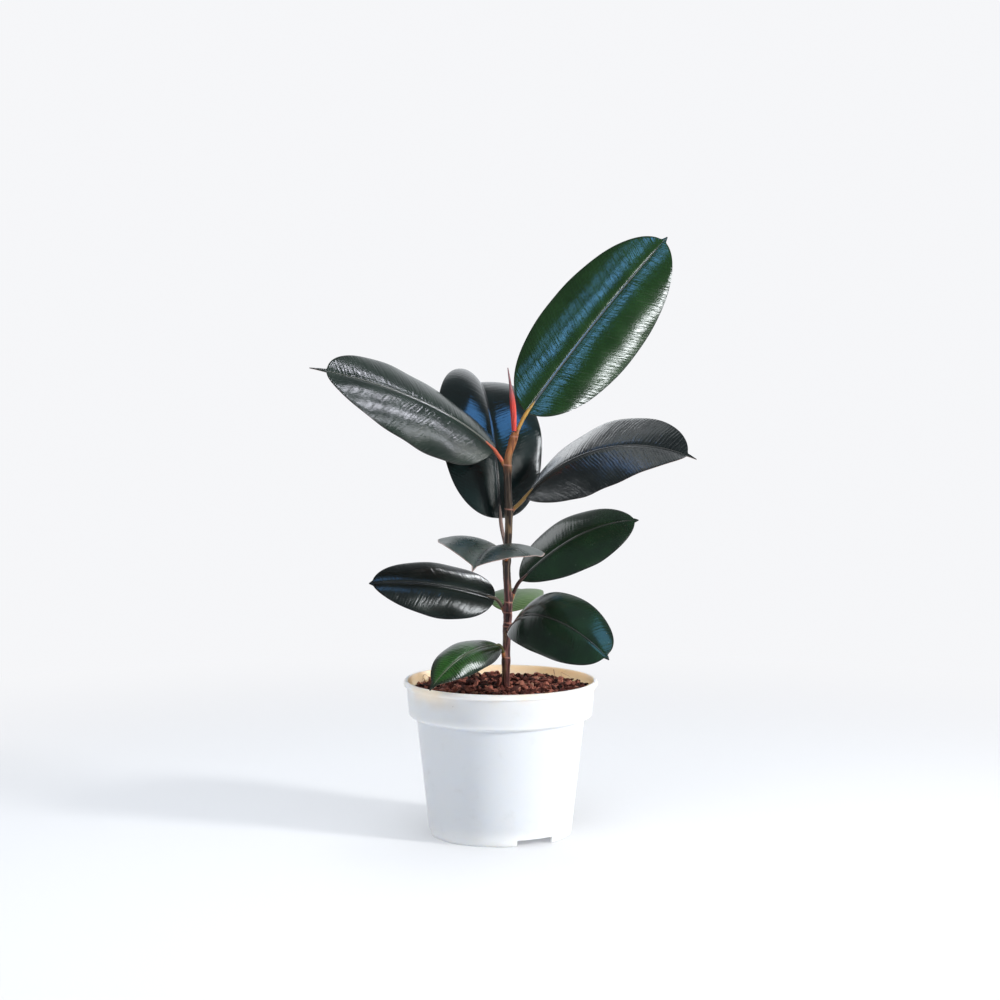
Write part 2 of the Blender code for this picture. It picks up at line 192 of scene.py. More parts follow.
def rounded(corners, steps=4):
    """The corners with their tips replaced by short arcs."""
    points = []
    for index, (radius, height, rounding) in enumerate(corners):
        here = Vector((radius, height))
        before = Vector(corners[index - 1][:2]) if index else here
        after = Vector(corners[index + 1][:2]) if index + 1 < len(corners) else here
        back = (before - here).normalized() if index else None
        ahead = (after - here).normalized() if index + 1 < len(corners) else None
        if back is None or ahead is None:
            points.append(here)
            continue
        reach = min(rounding, (before - here).length * 0.45, (after - here).length * 0.45)
        start, end = here + back * reach, here + ahead * reach
        for step in range(steps + 1):
            part = step / steps
            points.append(start * (1 - part) ** 2 + here * 2 * part * (1 - part) + end * part ** 2)
    return points


def turned_shell(points, sides):
    """A closed shell: a ring, extruded along the points and capped at both ends."""
    bpy.ops.object.select_all(action="DESELECT")
    first = points[0]
    bpy.ops.mesh.primitive_circle_add(vertices=sides, radius=first.x * MM,
                                      location=AXIS + Vector((0, 0, first.y * MM)), fill_type="NGON")
    bpy.ops.object.mode_set(mode="EDIT")
    for before, after in zip(points, points[1:]):
        bpy.ops.mesh.extrude_region_move(TRANSFORM_OT_translate={"value": (0, 0, (after.y - before.y) * MM)})
        share = after.x / before.x
        bpy.ops.transform.resize(value=(share, share, 1), center_override=(AXIS.x, AXIS.y, after.y * MM))
    bpy.ops.mesh.select_all(action="SELECT")
    bpy.ops.mesh.normals_make_consistent(inside=False)
    bpy.ops.object.mode_set(mode="OBJECT")
    return bpy.context.active_object


profile = rounded(POT_CORNERS)
pot = turned_shell(profile, POT_SIDES)
print("rings of the pot:", len(profile))

# %% [markdown]
# The foot ring has three low openings and the floor has six round holes, so that water can run out. A block
# or a rod with a Boolean modifier cuts each one, as a tool would.

# %% Openings in the foot and holes in the floor
NOTCH_TURNS = (-60.8, 59.2, 179.2)
NOTCH_SIZE = Vector((12, 30.8, 10.6)) * MM
DRAIN_TURNS = (30, 90, 150, 210, 270, 330)
DRAIN_RADIUS = 4 * MM
DRAIN_CIRCLE = 34 * MM


def cut_away(piece, tool):
    apply_modifier(piece, "BOOLEAN", operation="DIFFERENCE", solver="EXACT", object=tool)
    bpy.data.objects.remove(tool)


for turn in NOTCH_TURNS:
    way = Vector((math.cos(math.radians(turn)), math.sin(math.radians(turn)), 0))
    bpy.ops.mesh.primitive_cube_add(size=1, location=AXIS + way * 53.5 * MM, rotation=(0, 0, math.radians(turn)),
                                    scale=NOTCH_SIZE)
    block = bpy.context.active_object
    apply_modifier(block, "BEVEL", width=0.7 * MM, segments=3)
    cut_away(pot, block)
for turn in DRAIN_TURNS:
    way = Vector((math.cos(math.radians(turn)), math.sin(math.radians(turn)), 0))
    bpy.ops.mesh.primitive_cylinder_add(vertices=40, radius=DRAIN_RADIUS, depth=14 * MM,
                                        location=AXIS + way * DRAIN_CIRCLE + Vector((0, 0, FLOOR_LOW)))
    cut_away(pot, bpy.context.active_object)
choose(pot)
bpy.ops.object.shade_smooth_by_angle(angle=math.radians(32))
print("openings cut:", len(NOTCH_TURNS) + len(DRAIN_TURNS))

# %% [markdown]
# White plastic isn't only white. It is thin enough for a little light to come through, and that light turns
# warm on the way, so a soft scatter goes under a satin skin. The collar takes a cream tint. Warm painted light
# stands for the light that shines through: inside above the soil, where it comes from the coir, and in soft
# patches on the collar. A very low, wide relief breaks up the reflections as a moulded wall does, and a trace of dust
# greys the colour.

# %% White plastic
white_plastic, shader = new_finish("white_plastic", Roughness=0.38, IOR=1.47, Subsurface_Weight=0.7,
                                   Subsurface_Scale=0.008)
shader.inputs["Subsurface Radius"].default_value = (1.0, 0.85, 0.68)
place = add_node(white_plastic, "ShaderNodeTexCoord").outputs["Object"]
wide = grain(white_plastic, place, 22, 3)
fine = grain(white_plastic, place, 900, 2)
dust = spread(white_plastic, grain(white_plastic, place, 60, 4, 0.65), 0.55, 0.8)
colour = blended(white_plastic, wide, (0.82, 0.83, 0.84), (0.87, 0.87, 0.865))
from_axis = add_node(white_plastic, "ShaderNodeVectorMath", {0: place, 1: AXIS}, operation="SUBTRACT").outputs[0]
flat = add_node(white_plastic, "ShaderNodeVectorMath", {0: from_axis, 1: (1, 1, 0)}, operation="MULTIPLY").outputs[0]
radius = add_node(white_plastic, "ShaderNodeVectorMath", {0: flat}, operation="LENGTH").outputs["Value"]
level = add_node(white_plastic, "ShaderNodeSeparateXYZ", {0: place}).outputs["Z"]
collar = spread(white_plastic, level, 0.088, 0.112, 0, 0.5)
# painted light: the peach inside of the collar above the soil stands for light from the coir shining through
inside = spread(white_plastic, sums(white_plastic, "MULTIPLY_ADD", level, -0.09, radius), 0.0611, 0.0619, 1, 0)
inside = sums(white_plastic, "MULTIPLY", inside, spread(white_plastic, level, 0.098, 0.108))
# painted light: soft warm patches on the collar stand for light shining through the wall
glow = sums(white_plastic, "MULTIPLY", spread(white_plastic, grain(white_plastic, place, 26, 1), 0.5, 0.7),
            spread(white_plastic, level, 0.100, 0.114, 0, 0.8))
colour = blended(white_plastic, collar, colour, (0.86, 0.82, 0.775))
colour = blended(white_plastic, glow, colour, (0.86, 0.72, 0.58))
colour = blended(white_plastic, sums(white_plastic, "MULTIPLY", inside, 0.8), colour, (0.90, 0.66, 0.46))
colour = blended(white_plastic, sums(white_plastic, "MULTIPLY", dust, 0.35), colour, (0.66, 0.64, 0.60))
link(white_plastic, colour, shader, "Base Color")
rough = spread(white_plastic, wide, 0.3, 0.7, 0.33, 0.44)
link(white_plastic, rough, shader, "Roughness")
height = sums(white_plastic, "ADD", wide, sums(white_plastic, "MULTIPLY", fine, 0.04))
relief(white_plastic, shader, height, 0.35 * MM, 0.5)
hand_over(pot, "pot_shell", "pot", "white_plastic", white_plastic)

# %% [markdown]
# ## The stem
#
# The stem is one soft green-brown shoot with a swollen joint at every leaf. A curve with a round bevel follows
# its route, and a short stub leaves it at each joint. Merged by a voxel remesh, stem and stubs flow into
# each other as grown wood does, which a plain Boolean can't do.

# %% The plant's numbers
Leaf = namedtuple("Leaf", "name joint bearing stalk rise length width drip base tip "
                          "lift droop bow sweep roll fold keel curl puff")
# joint: height on the stem in mm. bearing: where the leaf points, 0 to the right and 90 away from the viewer.
# The other fields shape the stalk and the blade, in mm and degrees, as the leaf's formulas below show.
LEAVES = (
    Leaf("leaf_01", 134, 236, 8, 60, 96, 35, 6, 0.6, 0.72, 8, 44, 1, 0, 25, 6, 6, 40, 0),
    Leaf("leaf_02", 158, -72, 5, 20, 118, 57, 7, 0.5, 0.4, 42, 93, 0.8, 62, -50, 4, 1, 39, 0),
    Leaf("leaf_03", 161, 80, 7, 45, 80, 42, 6, 0.45, 0.55, 34, 54, 0.8, 0, 0, 10, 10, 30, 0),
    Leaf("leaf_04", 169, 187, 8, 60, 104, 54, 8, 0.45, 0.6, 19, 24, 1, 0, 46, 5, 6, 38, 0),
    Leaf("leaf_05", 177, 18, 11, 66, 113, 53, 7, 0.68, 0.58, 42.5, 46, 1.4, 0, -45, -9, -5, 26, 0),
    Leaf("leaf_06", 212, -98, 16, 30, 158, 78, 10, 0.43, 0.6, 14, 26, 1, 0, 8, 28, 28, 56, 0),
    Leaf("leaf_07", 219, 112, 20, 55, 168, 86, 9, 0.43, 0.6, 81, 112, 1.8, -18, -8, 4, 14, 28, 76),
    Leaf("leaf_08", 249, -6, 10, 42, 146, 83, 8, 0.59, 0.55, 54, 79, 0.93, 0, -32, -22, 21, 18, 0),
    Leaf("leaf_09", 283, 189, 9, 56, 158, 79, 13, 0.35, 0.46, 53, 43, 0.5, 0, 39, -12, 18, 39, 0),
    Leaf("leaf_10", 305, 20, 14, 64, 181, 81, 7, 0.51, 0.55, 52.5, 7, 1, 0, -62, 11, 9, 46, 0),
)
STEM_ROUTE = ((4, 0, 66), (4, 0, 108), (4.3, 0, 139), (5.6, 0, 173), (5.4, 0, 190), (4.6, 0, 209), (6, 0, 234),
              (6.2, 0, 251), (5.4, 0, 274), (5.6, 0, 291), (8, 0, 300), (11.2, 0, 311))
STEM_FOOT_RADIUS = 3.3 * MM
STEM_TOP_RADIUS = 2.9 * MM
SWELL = 0.16
SWELL_REACH = 3.2 * MM
STUB_REACH = 2.2 * MM
STALK_RADIUS = 1.5 * MM


def direction(bearing, slope):
    """A unit vector from a bearing and a slope in degrees."""
    turn, tilt = math.radians(bearing), math.radians(slope)
    return Vector((math.cos(turn) * math.cos(tilt), math.sin(turn) * math.cos(tilt), math.sin(tilt)))


def smooth_curve(knots, count):
    """Evenly many points on a smooth curve through the knots."""
    knots = [Vector(knot) for knot in knots]
    padded = [2 * knots[0] - knots[1], *knots, 2 * knots[-1] - knots[-2]]
    points = []
    for place_on in range(count + 1):
        along = place_on / count * (len(knots) - 1)
        piece = min(int(along), len(knots) - 2)
        part = along - piece
        before, start, end, after = padded[piece:piece + 4]
        points.append(0.5 * (2 * start + (end - before) * part
                             + (2 * before - 5 * start + 4 * end - after) * part ** 2
                             + (3 * start - before - 3 * end + after) * part ** 3))
    return points


STEM_LINE = [AXIS + point * MM for point in smooth_curve(STEM_ROUTE, 240)]


def on_stem(height):
    """The middle of the stem at a height in mm."""
    for low, high in zip(STEM_LINE, STEM_LINE[1:]):
        if low.z <= height * MM <= high.z:
            return low.lerp(high, (height * MM - low.z) / (high.z - low.z))
    return STEM_LINE[-1]


def stem_radius(z):
    low, high = STEM_LINE[0].z, STEM_LINE[-1].z
    plain = STEM_FOOT_RADIUS + (STEM_TOP_RADIUS - STEM_FOOT_RADIUS) * (z - low) / (high - low)
    swell = max(math.exp(-((z - leaf.joint * MM) / SWELL_REACH) ** 2) for leaf in LEAVES)
    return plain * (1 + SWELL * swell)


def stalk_start(leaf):
    """Where a leaf's stalk meets its foot on the stem."""
    way = direction(leaf.bearing, leaf.rise)
    return on_stem(leaf.joint) + way * (stem_radius(leaf.joint * MM) / math.hypot(way.x, way.y) + STUB_REACH)


print("the stem runs from", round(STEM_LINE[0].z / MM), "to", round(STEM_LINE[-1].z / MM), "mm")

# %% A round rod along any line
def rod(points, radii, sides=12):
    """A closed round rod. The curve's bevel keeps its rings square to the line, and it is then made a mesh."""
    bpy.ops.object.select_all(action="DESELECT")
    bpy.ops.curve.primitive_nurbs_path_add(location=(0, 0, 0))
    path = bpy.context.active_object
    path.data.splines.clear()
    line = path.data.splines.new("POLY")
    line.points.add(len(points) - 1)
    for knot, point, radius in zip(line.points, points, radii):
        knot.co = (*point, 1)
        knot.radius = radius
    path.data.bevel_depth = 1
    path.data.bevel_resolution = sides // 4
    path.data.use_fill_caps = True
    choose(path)
    bpy.ops.object.convert(target="MESH")
    rod_piece = bpy.context.active_object
    bpy.ops.object.mode_set(mode="EDIT")
    bpy.ops.mesh.select_all(action="SELECT")
    bpy.ops.mesh.remove_doubles(threshold=0.005 * MM)
    bpy.ops.mesh.normals_make_consistent(inside=False)
    bpy.ops.object.mode_set(mode="OBJECT")
    return rod_piece


stem = rod(STEM_LINE, [stem_radius(point.z) for point in STEM_LINE], 24)
stubs = []
for leaf in LEAVES:
    foot, end = on_stem(leaf.joint), stalk_start(leaf)
    line = [foot.lerp(end, step / 6) for step in range(7)]
    widths = [1.2, 1.4, 1.5, 1.45, 1.3, 1.1, 1]
    stubs.append(rod(line, [width * STALK_RADIUS for width in widths], 16))
stem = joined(stem, *stubs)
apply_modifier(stem, "REMESH", mode="VOXEL", voxel_size=0.42 * MM)
apply_modifier(stem, "CORRECTIVE_SMOOTH", factor=0.5, iterations=6, use_only_smooth=True)
print("faces of the merged stem:", len(stem.data.polygons))

# %% [markdown]
# Close up, young bark has fine lengthwise ridges, small raised pores, and a thin ring round every joint where
# an old sheath fell off. They are small but they catch the light, so they are pushed into the mesh: each point
# moves a little along its normal. The same pass stores two values on the points, the rings and the stubs,
# which the material reads.

# %% Ridges, pores and rings
RING_OFFSET = 3.2 * MM  # above the middle of a joint
rings = [leaf.joint * MM + RING_OFFSET for leaf in LEAVES]
stub_ends = [(on_stem(leaf.joint), stalk_start(leaf)) for leaf in LEAVES]
mesh = stem.data
ring_value, stub_value = [], []
for corner, normal in zip(mesh.vertices, [n.vector.copy() for n in mesh.vertex_normals]):
    spot = corner.co.copy()
    middle = on_stem(min(max(spot.z / MM, 66), 311))
    out = (spot - middle).length
    plain = stem_radius(min(max(spot.z, STEM_LINE[0].z), STEM_LINE[-1].z))
    ring = max(math.exp(-((spot.z - z + 0.12 * (spot.x - middle.x)) / (0.45 * MM)) ** 2) for z in rings)
    on_stub = min(max((out - plain * 1.12) / (1.4 * MM), 0), 1)
    ridge = noise.noise(Vector((spot.x, spot.y, spot.z * 0.09)) * 900)
    pore = max(noise.noise(Vector((spot.x, spot.y, spot.z * 0.8)) * 620) - 0.42, 0)
    push = 0.16 * MM * ring * (1 - on_stub) + 0.07 * MM * ridge + 0.5 * MM * pore * (1 - on_stub)
    corner.co += normal * push
    ring_value.append(ring * (1 - on_stub))
    stub_value.append(on_stub)
for name, values in (("ring", ring_value), ("stub", stub_value)):
    mesh.attributes.new(name, "FLOAT", "POINT").data.foreach_set("value", values)
mesh.update()
choose(stem)
bpy.ops.object.shade_smooth()
print("rings on the stem:", len(rings))

# %% [markdown]
# The bark's colour changes on its way up: grey-brown with pale streaks low down, dark olive in the middle,
# and a fresh orange-brown in the newest growth. Noise stretched along Z gives the streaks, and ranges of the
# height choose between the three colours. The stubs take the warm colour of the leaf stalks.

# %% Bark
bark, shader = new_finish("bark", Roughness=0.36, IOR=1.45)
place = add_node(bark, "ShaderNodeTexCoord").outputs["Object"]
z = add_node(bark, "ShaderNodeSeparateXYZ", {0: place}).outputs["Z"]
streak = grain(bark, place, 700, 3, 0.6, (1, 1, 0.045))
patch = grain(bark, place, 90, 3, 0.55, (1, 1, 0.5))
wander = sums(bark, "MULTIPLY_ADD", patch, 0.03, z)
low_colour = blended(bark, spread(bark, streak, 0.45, 0.66), (0.034, 0.010, 0.010), (0.24, 0.10, 0.095))
middle_colour = blended(bark, spread(bark, streak, 0.46, 0.68), (0.014, 0.008, 0.006), (0.12, 0.088, 0.06))
top_colour = blended(bark, spread(bark, streak, 0.35, 0.65), (0.12, 0.038, 0.018), (0.34, 0.135, 0.05))
colour = blended(bark, spread(bark, wander, 0.195, 0.225), low_colour, middle_colour)
colour = blended(bark, spread(bark, wander, 0.292, 0.312), colour, top_colour)
tan = spread(bark, grain(bark, place, 130, 2, 0.5, (1, 1, 0.35)), 0.6, 0.7, 0, 0.6)
colour = blended(bark, tan, colour, (0.22, 0.14, 0.075))
ring = add_node(bark, "ShaderNodeAttribute", attribute_name="ring").outputs["Fac"]
stub = add_node(bark, "ShaderNodeAttribute", attribute_name="stub").outputs["Fac"]
colour = blended(bark, sums(bark, "MULTIPLY", ring, 0.8), colour, (0.42, 0.20, 0.15))
colour = blended(bark, sums(bark, "MULTIPLY", stub, 0.85), colour, (0.36, 0.13, 0.045))
link(bark, colour, shader, "Base Color")
link(bark, spread(bark, streak, 0.3, 0.7, 0.3, 0.55), shader, "Roughness")
relief(bark, shader, streak, 0.12 * MM, 0.8)
hand_over(stem, "stem_shoot", "stem", "bark", bark)

# %% [markdown]
# ## The leaves
#
# A rubber plant's leaf is a stiff oval sheet, folded a little along its midrib, with its margins bent down and
# a thin drip tip. Below it runs a round rib that goes on as the stalk. A grid primitive gives the sheet with
# its map of squares. Its points are then laid out by formula, row by row, because ten leaves with ten
# different bends can't be placed by eye: the first formula gives the midrib's line, the second the width of
# the blade, and the third its section.

# %% The leaf's formulas
DRIP_ROOT = 2.2 * MM
DRIP_POINT = 0.4 * MM
DRIP_KEPT = {"leaf_02": 0.5, "leaf_04": 0.3, "leaf_05": 0.5, "leaf_10": 0.6}  # share left of a worn drip tip
BLADE_ROWS = 150
BLADE_SPOTS = 17  # columns on each side of the midrib
BLADE_THICKNESS = 0.62 * MM
PUFF_CURL = 2.4  # brings the margin of a bulging half back down
STALK_STEPS = 14


def blade_end(leaf):
    return 1 - (1 - DRIP_KEPT.get(leaf.name, 1)) * leaf.drip / leaf.length


def blade_half_width(leaf, share):
    body, end = 1 - leaf.drip / leaf.length, blade_end(leaf)
    widest = leaf.base / (leaf.base + leaf.tip)
    most = widest ** leaf.base * (1 - widest) ** leaf.tip
    along = min(max(share / body, 0), 1)
    width = leaf.width / 2 * MM * along ** leaf.base * (1 - along) ** leaf.tip / most
    drip = DRIP_POINT + (DRIP_ROOT - DRIP_POINT) * min(1, (end - share) / (end - body))
    return max(width, min(drip, STALK_RADIUS + share * leaf.length * MM))


def blade_direction(leaf, share):
    return direction(leaf.bearing + leaf.sweep * share, leaf.lift - leaf.droop * share ** leaf.bow)


def blade_share(step):
    """Rows lie closer together towards both ends."""
    part = step / BLADE_ROWS
    return 0.5 * part + 0.5 * (1 - math.cos(math.pi * part)) / 2


def leaf_line(leaf):
    """The stalk's points, and for each row of the blade its place, direction and share of the length."""
    start = direction(leaf.bearing, leaf.rise)
    point = stalk_start(leaf) + start * 0.3 * MM
    stalk = [point - start * 1.1 * MM, point]
    for step in range(STALK_STEPS):
        part = (step + 0.5) / STALK_STEPS
        slope = leaf.rise + (leaf.lift - leaf.rise) * part ** 2
        point = point + direction(leaf.bearing, slope) * leaf.stalk * MM / STALK_STEPS
        stalk.append(point)
    rows, before = [], 0
    for step in range(BLADE_ROWS + 1):
        share = blade_share(step) * blade_end(leaf)
        point = point + blade_direction(leaf, (before + share) / 2) * (share - before) * leaf.length * MM
        rows.append((point, blade_direction(leaf, share), share))
        before = share
    return stalk, rows


def rib_half_width(share):
    return (0.35 + 1.35 * (1 - share) ** 0.8) * MM


print("points of a blade:", (BLADE_ROWS + 1) * (2 * BLADE_SPOTS + 1))

# %% [markdown]
# A real blade is never a perfect surface. Seen in a reflection it swells a little between its side veins and
# waves slowly towards the margin. Three slow waves with a different start for every leaf do that. Along the
# midrib the top has a narrow furrow with a low ridge in it.

# %% The sheet of one leaf
def slow_waves(seed, across, along):
    """A gentle unevenness in mm, from a few sines that depend on the leaf's number."""
    total = 0
    for turn, (wide, long, height) in enumerate(((0.16, 0.05, 0.10), (0.07, 0.11, 0.14), (0.22, 0.19, 0.05))):
        start = seed * 2.4 + turn * 1.7
        total = total + height * np.sin(across * wide + start) * np.sin(along * long + start * 1.3)
    return total


def make_sheet(leaf):
    """The blade as a mesh with the values that the leaf's material reads."""
    stalk, rows = leaf_line(leaf)
    seed = int(leaf.name[-2:])
    columns = 2 * BLADE_SPOTS + 1
    places = np.zeros((BLADE_ROWS + 1, columns, 3))
    across_mm = np.zeros((BLADE_ROWS + 1, columns))
    along_mm = np.zeros_like(across_mm)
    edge_mm = np.zeros_like(across_mm)
    rib_share = np.zeros_like(across_mm)
    for number, (middle, ahead, share) in enumerate(rows):
        side = ahead.cross(Vector((0, 0, 1))).normalized()
        side.rotate(Matrix.Rotation(math.radians(-leaf.roll), 3, ahead))
        up = side.cross(ahead)
        half = blade_half_width(leaf, share)
        rib = min(rib_half_width(share), 0.4 * half)
        near = np.array([0, 0.35, 0.7, 1.05, 1.5]) * rib
        far = 1.5 * rib + (half - 1.5 * rib) * np.linspace(0, 1, BLADE_SPOTS - 3)[1:] ** 0.92
        distance = np.concatenate([near, far])
        distance = np.concatenate([-distance[:0:-1], distance])
        reach = np.abs(distance) / (leaf.width / 2 * MM)
        puff = np.where(distance < 0, leaf.puff * share ** 3, 0)
        fold = leaf.fold + (leaf.keel - leaf.fold) * share + puff
        slope = np.radians(fold) - np.radians(leaf.curl + PUFF_CURL * puff) * reach / 2
        along = share * leaf.length
        height = slow_waves(seed, distance / MM, along) * np.minimum(reach * 3, 1)
        ripple = np.sin(along * 0.16 + seed + (distance > 0) * 1.9) * reach ** 3 * 0.55
        fade = min(1, share * 8, (1 - share) * 8)
        furrow = 0.10 * np.exp(-(distance / (0.35 * rib)) ** 2)
        furrow -= 0.24 * np.exp(-((np.abs(distance) - 0.9 * rib) / (0.4 * rib)) ** 2)
        lift = (height + ripple) * fade * MM + furrow * fade * MM * min(1, rib / (0.8 * MM))
        flat = np.abs(distance) * np.cos(slope) * np.sign(distance)
        rise = np.abs(distance) * np.sin(slope) + lift
        places[number] = (np.array(middle) + flat[:, None] * np.array(side) + rise[:, None] * np.array(up))
        across_mm[number] = distance / MM
        along_mm[number] = along
        edge_mm[number] = (half - np.abs(distance)) / MM
        rib_share[number] = np.exp(-(distance / (0.75 * rib)) ** 2) * min(1, (1 - share) * 10)
    bpy.ops.object.select_all(action="DESELECT")
    bpy.ops.mesh.primitive_grid_add(x_subdivisions=columns - 1, y_subdivisions=BLADE_ROWS, size=2)
    sheet = bpy.context.active_object
    mesh = sheet.data
    flat_places = np.zeros(len(mesh.vertices) * 3)
    mesh.vertices.foreach_get("co", flat_places)
    flat_places = flat_places.reshape(-1, 3)
    column = np.round((flat_places[:, 0] + 1) / 2 * (columns - 1)).astype(int)
    row = np.round((flat_places[:, 1] + 1) / 2 * BLADE_ROWS).astype(int)
    mesh.vertices.foreach_set("co", places[row, column].ravel())
    for name, values in (("across", across_mm), ("along", along_mm), ("edge", edge_mm), ("rib", rib_share)):
        mesh.attributes.new(name, "FLOAT", "POINT").data.foreach_set("value", values[row, column])
    thin = sheet.vertex_groups.new(name="thin")
    weights = np.clip(0.35 + edge_mm[row, column] / 2.5, 0.35, 1)
    for index, weight in enumerate(weights):
        thin.add([index], float(weight), "REPLACE")
    mesh.update()
    return sheet, stalk, rows


first_sheet = make_sheet(LEAVES[0])[0]
print("the first sheet has", len(first_sheet.data.polygons), "faces")
bpy.data.objects.remove(first_sheet)

# %% [markdown]
# ## The finish of a leaf
#
# The skin of the upper side is waxy and dark. What shows its build are the side veins: they leave the midrib
# almost square to it, run out in a slight arch and break every reflection into fine streaks. The material
# reads how far a point lies across and along the blade, so the veins follow each leaf however it bends.
# Every leaf gets its own colours: young and old leaves differ, and they hold painted light, paler where a
# leaf is sunlit or lit through, darker where it is shaded.

# %% The upper side
def vein_flow(finish, across, along, lean=0.34):
    """Places on the blade with the second axis square to the side veins, which lean towards the tip."""
    away = sums(finish, "ABSOLUTE", across)
    place = add_node(finish, "ShaderNodeCombineXYZ", {0: across, 1: along, 2: 0.0}).outputs[0]
    step = sums(finish, "MULTIPLY_ADD", away, -lean, along)
    step = sums(finish, "MULTIPLY_ADD", sums(finish, "MULTIPLY", away, away), -0.004, step)
    step = sums(finish, "MULTIPLY_ADD", grain(finish, place, 0.09, 2), 3.0, step)
    side = spread(finish, across, -0.1, 0.1, 0, 60)
    return place, away, step, side


def streaks(finish, away, step, side, width, length):
    """Noise drawn out along the side veins. width and length: of one streak in mm."""
    flow = add_node(finish, "ShaderNodeCombineXYZ", {0: sums(finish, "MULTIPLY", away, width / length), 1: step,
                                                     2: side}).outputs[0]
    return grain(finish, flow, 0.9 / width, 2, 0.5)


def make_top(name, deep, light, vein, rim, rib_colour=(0.03, 0.032, 0.03), rim_width=2.5, veins=0.15,
             grooves=0.3, streaky=1.0, rough=0.2, coat=0.4, dusty=0.0):
    """deep and light: the skin's colours. vein: side veins. rim: the outermost margin."""
    top, shader = new_finish(name, Roughness=rough, IOR=1.5, Coat_Weight=coat, Coat_Roughness=0.1)
    across, along, edge, rib = (add_node(top, "ShaderNodeAttribute", attribute_name=key).outputs["Fac"]
                                for key in ("across", "along", "edge", "rib"))
    place, away, step, side = vein_flow(top, across, along)
    broad = streaks(top, away, step, side, 2.4, 30)
    fine = streaks(top, away, step, side, 0.9, 7)
    finest = streaks(top, away, step, side, 0.4, 3)
    # side veins about 2.7 mm apart, every one a little out of step
    beat = sums(top, "MULTIPLY_ADD", broad, 0.6, sums(top, "MULTIPLY", step, 0.37))
    groove = spread(top, sums(top, "PINGPONG", beat, 0.5), 0.0, 0.3, 1, 0)
    patches = grain(top, place, 0.045, 3, 0.5)
    colour = blended(top, spread(top, patches, 0.25, 0.75), deep, light)
    colour = blended(top, sums(top, "MULTIPLY", spread(top, fine, 0.45, 0.75), veins * 0.5), colour, vein)
    colour = blended(top, sums(top, "MULTIPLY", groove, veins), colour, vein)
    colour = blended(top, spread(top, edge, 0.0, rim_width, 0.85, 0), colour, rim)
    colour = blended(top, sums(top, "MULTIPLY", spread(top, rib, 0.35, 0.95), 0.85), colour, rib_colour)
    # painted shade: the grooves beside the midrib are darkened
    furrow = sums(top, "MULTIPLY", spread(top, rib, 0.12, 0.3), spread(top, rib, 0.3, 0.55, 1, 0))
    colour = blended(top, sums(top, "MULTIPLY", furrow, 0.6), colour, (0.006, 0.008, 0.008))
    if dusty:
        specks = add_node(top, "ShaderNodeTexVoronoi", {"Vector": place, "Scale": 0.42, "Randomness": 1.0})
        choice = add_node(top, "ShaderNodeSeparateColor", {0: specks.outputs["Color"]}).outputs[0]
        dots = sums(top, "MULTIPLY", spread(top, specks.outputs["Distance"], 0.04, 0.11, 1, 0),
                    spread(top, choice, 1 - dusty, 1 - dusty + 0.02))
        colour = blended(top, sums(top, "MULTIPLY", dots, 0.5), colour, (0.5, 0.56, 0.54))
    link(top, colour, shader, "Base Color")
    link(top, spread(top, patches, 0.3, 0.7, rough - 0.03, rough + 0.05), shader, "Roughness")
    height = sums(top, "MULTIPLY_ADD", groove, -grooves, sums(top, "MULTIPLY", broad, 1.3 * streaky))
    height = sums(top, "MULTIPLY_ADD", fine, 0.5 * streaky, height)
    height = sums(top, "MULTIPLY_ADD", finest, 0.1 * streaky, height)
    height = sums(top, "MULTIPLY", height, spread(top, rib, 0.1, 0.5, 1, 0.15))
    relief(top, shader, height, 0.1 * MM)
    return top


# %% [markdown]
# The underside is dull and paler, washed with dark red in this kind, and the round rib shows there with the
# same side veins, raised. Stalk and rib have their own finish, from yellow-olive to red.

# %% The underside and the stalks
def make_under(name, body, flush):
    under, shader = new_finish(name, Roughness=0.55, IOR=1.42)
    across, along, edge = (add_node(under, "ShaderNodeAttribute", attribute_name=key).outputs["Fac"]
                           for key in ("across", "along", "edge"))
    place, away, step, side = vein_flow(under, across, along)
    fine = streaks(under, away, step, side, 0.9, 12)
    main_line = spread(under, sums(under, "PINGPONG", sums(under, "MULTIPLY", step, 0.21), 0.5), 0.0, 0.14, 1, 0)
    colour = blended(under, spread(under, grain(under, place, 0.06, 4, 0.6), 0.35, 0.7), body, flush)
    colour = blended(under, sums(under, "MULTIPLY", main_line, 0.5), colour, (0.16, 0.09, 0.05))
    colour = blended(under, spread(under, edge, 0.0, 1.6, 0.7, 0), colour, (0.30, 0.20, 0.17))
    link(under, colour, shader, "Base Color")
    relief(under, shader, sums(under, "MULTIPLY_ADD", fine, 0.6, main_line), 0.12 * MM, 0.7)
    return under


def make_stalk_finish(name, foot, top_end):
    """From the stalk's colour at the stem to the rib's colour below the blade."""
    stalk, shader = new_finish(name, Roughness=0.36, IOR=1.45)
    place = add_node(stalk, "ShaderNodeTexCoord").outputs["Object"]
    on_rib = add_node(stalk, "ShaderNodeAttribute", attribute_name="on_rib").outputs["Fac"]
    streak = grain(stalk, place, 420, 3, 0.6)
    colour = blended(stalk, on_rib, foot, top_end)
    colour = blended(stalk, spread(stalk, streak, 0.5, 0.75, 0, 0.5), colour, tuple(0.45 * part for part in foot))
    link(stalk, colour, shader, "Base Color")
    link(stalk, spread(stalk, streak, 0.3, 0.7, 0.3, 0.5), shader, "Roughness")
    relief(stalk, shader, streak, 0.08 * MM, 0.6)
    return stalk


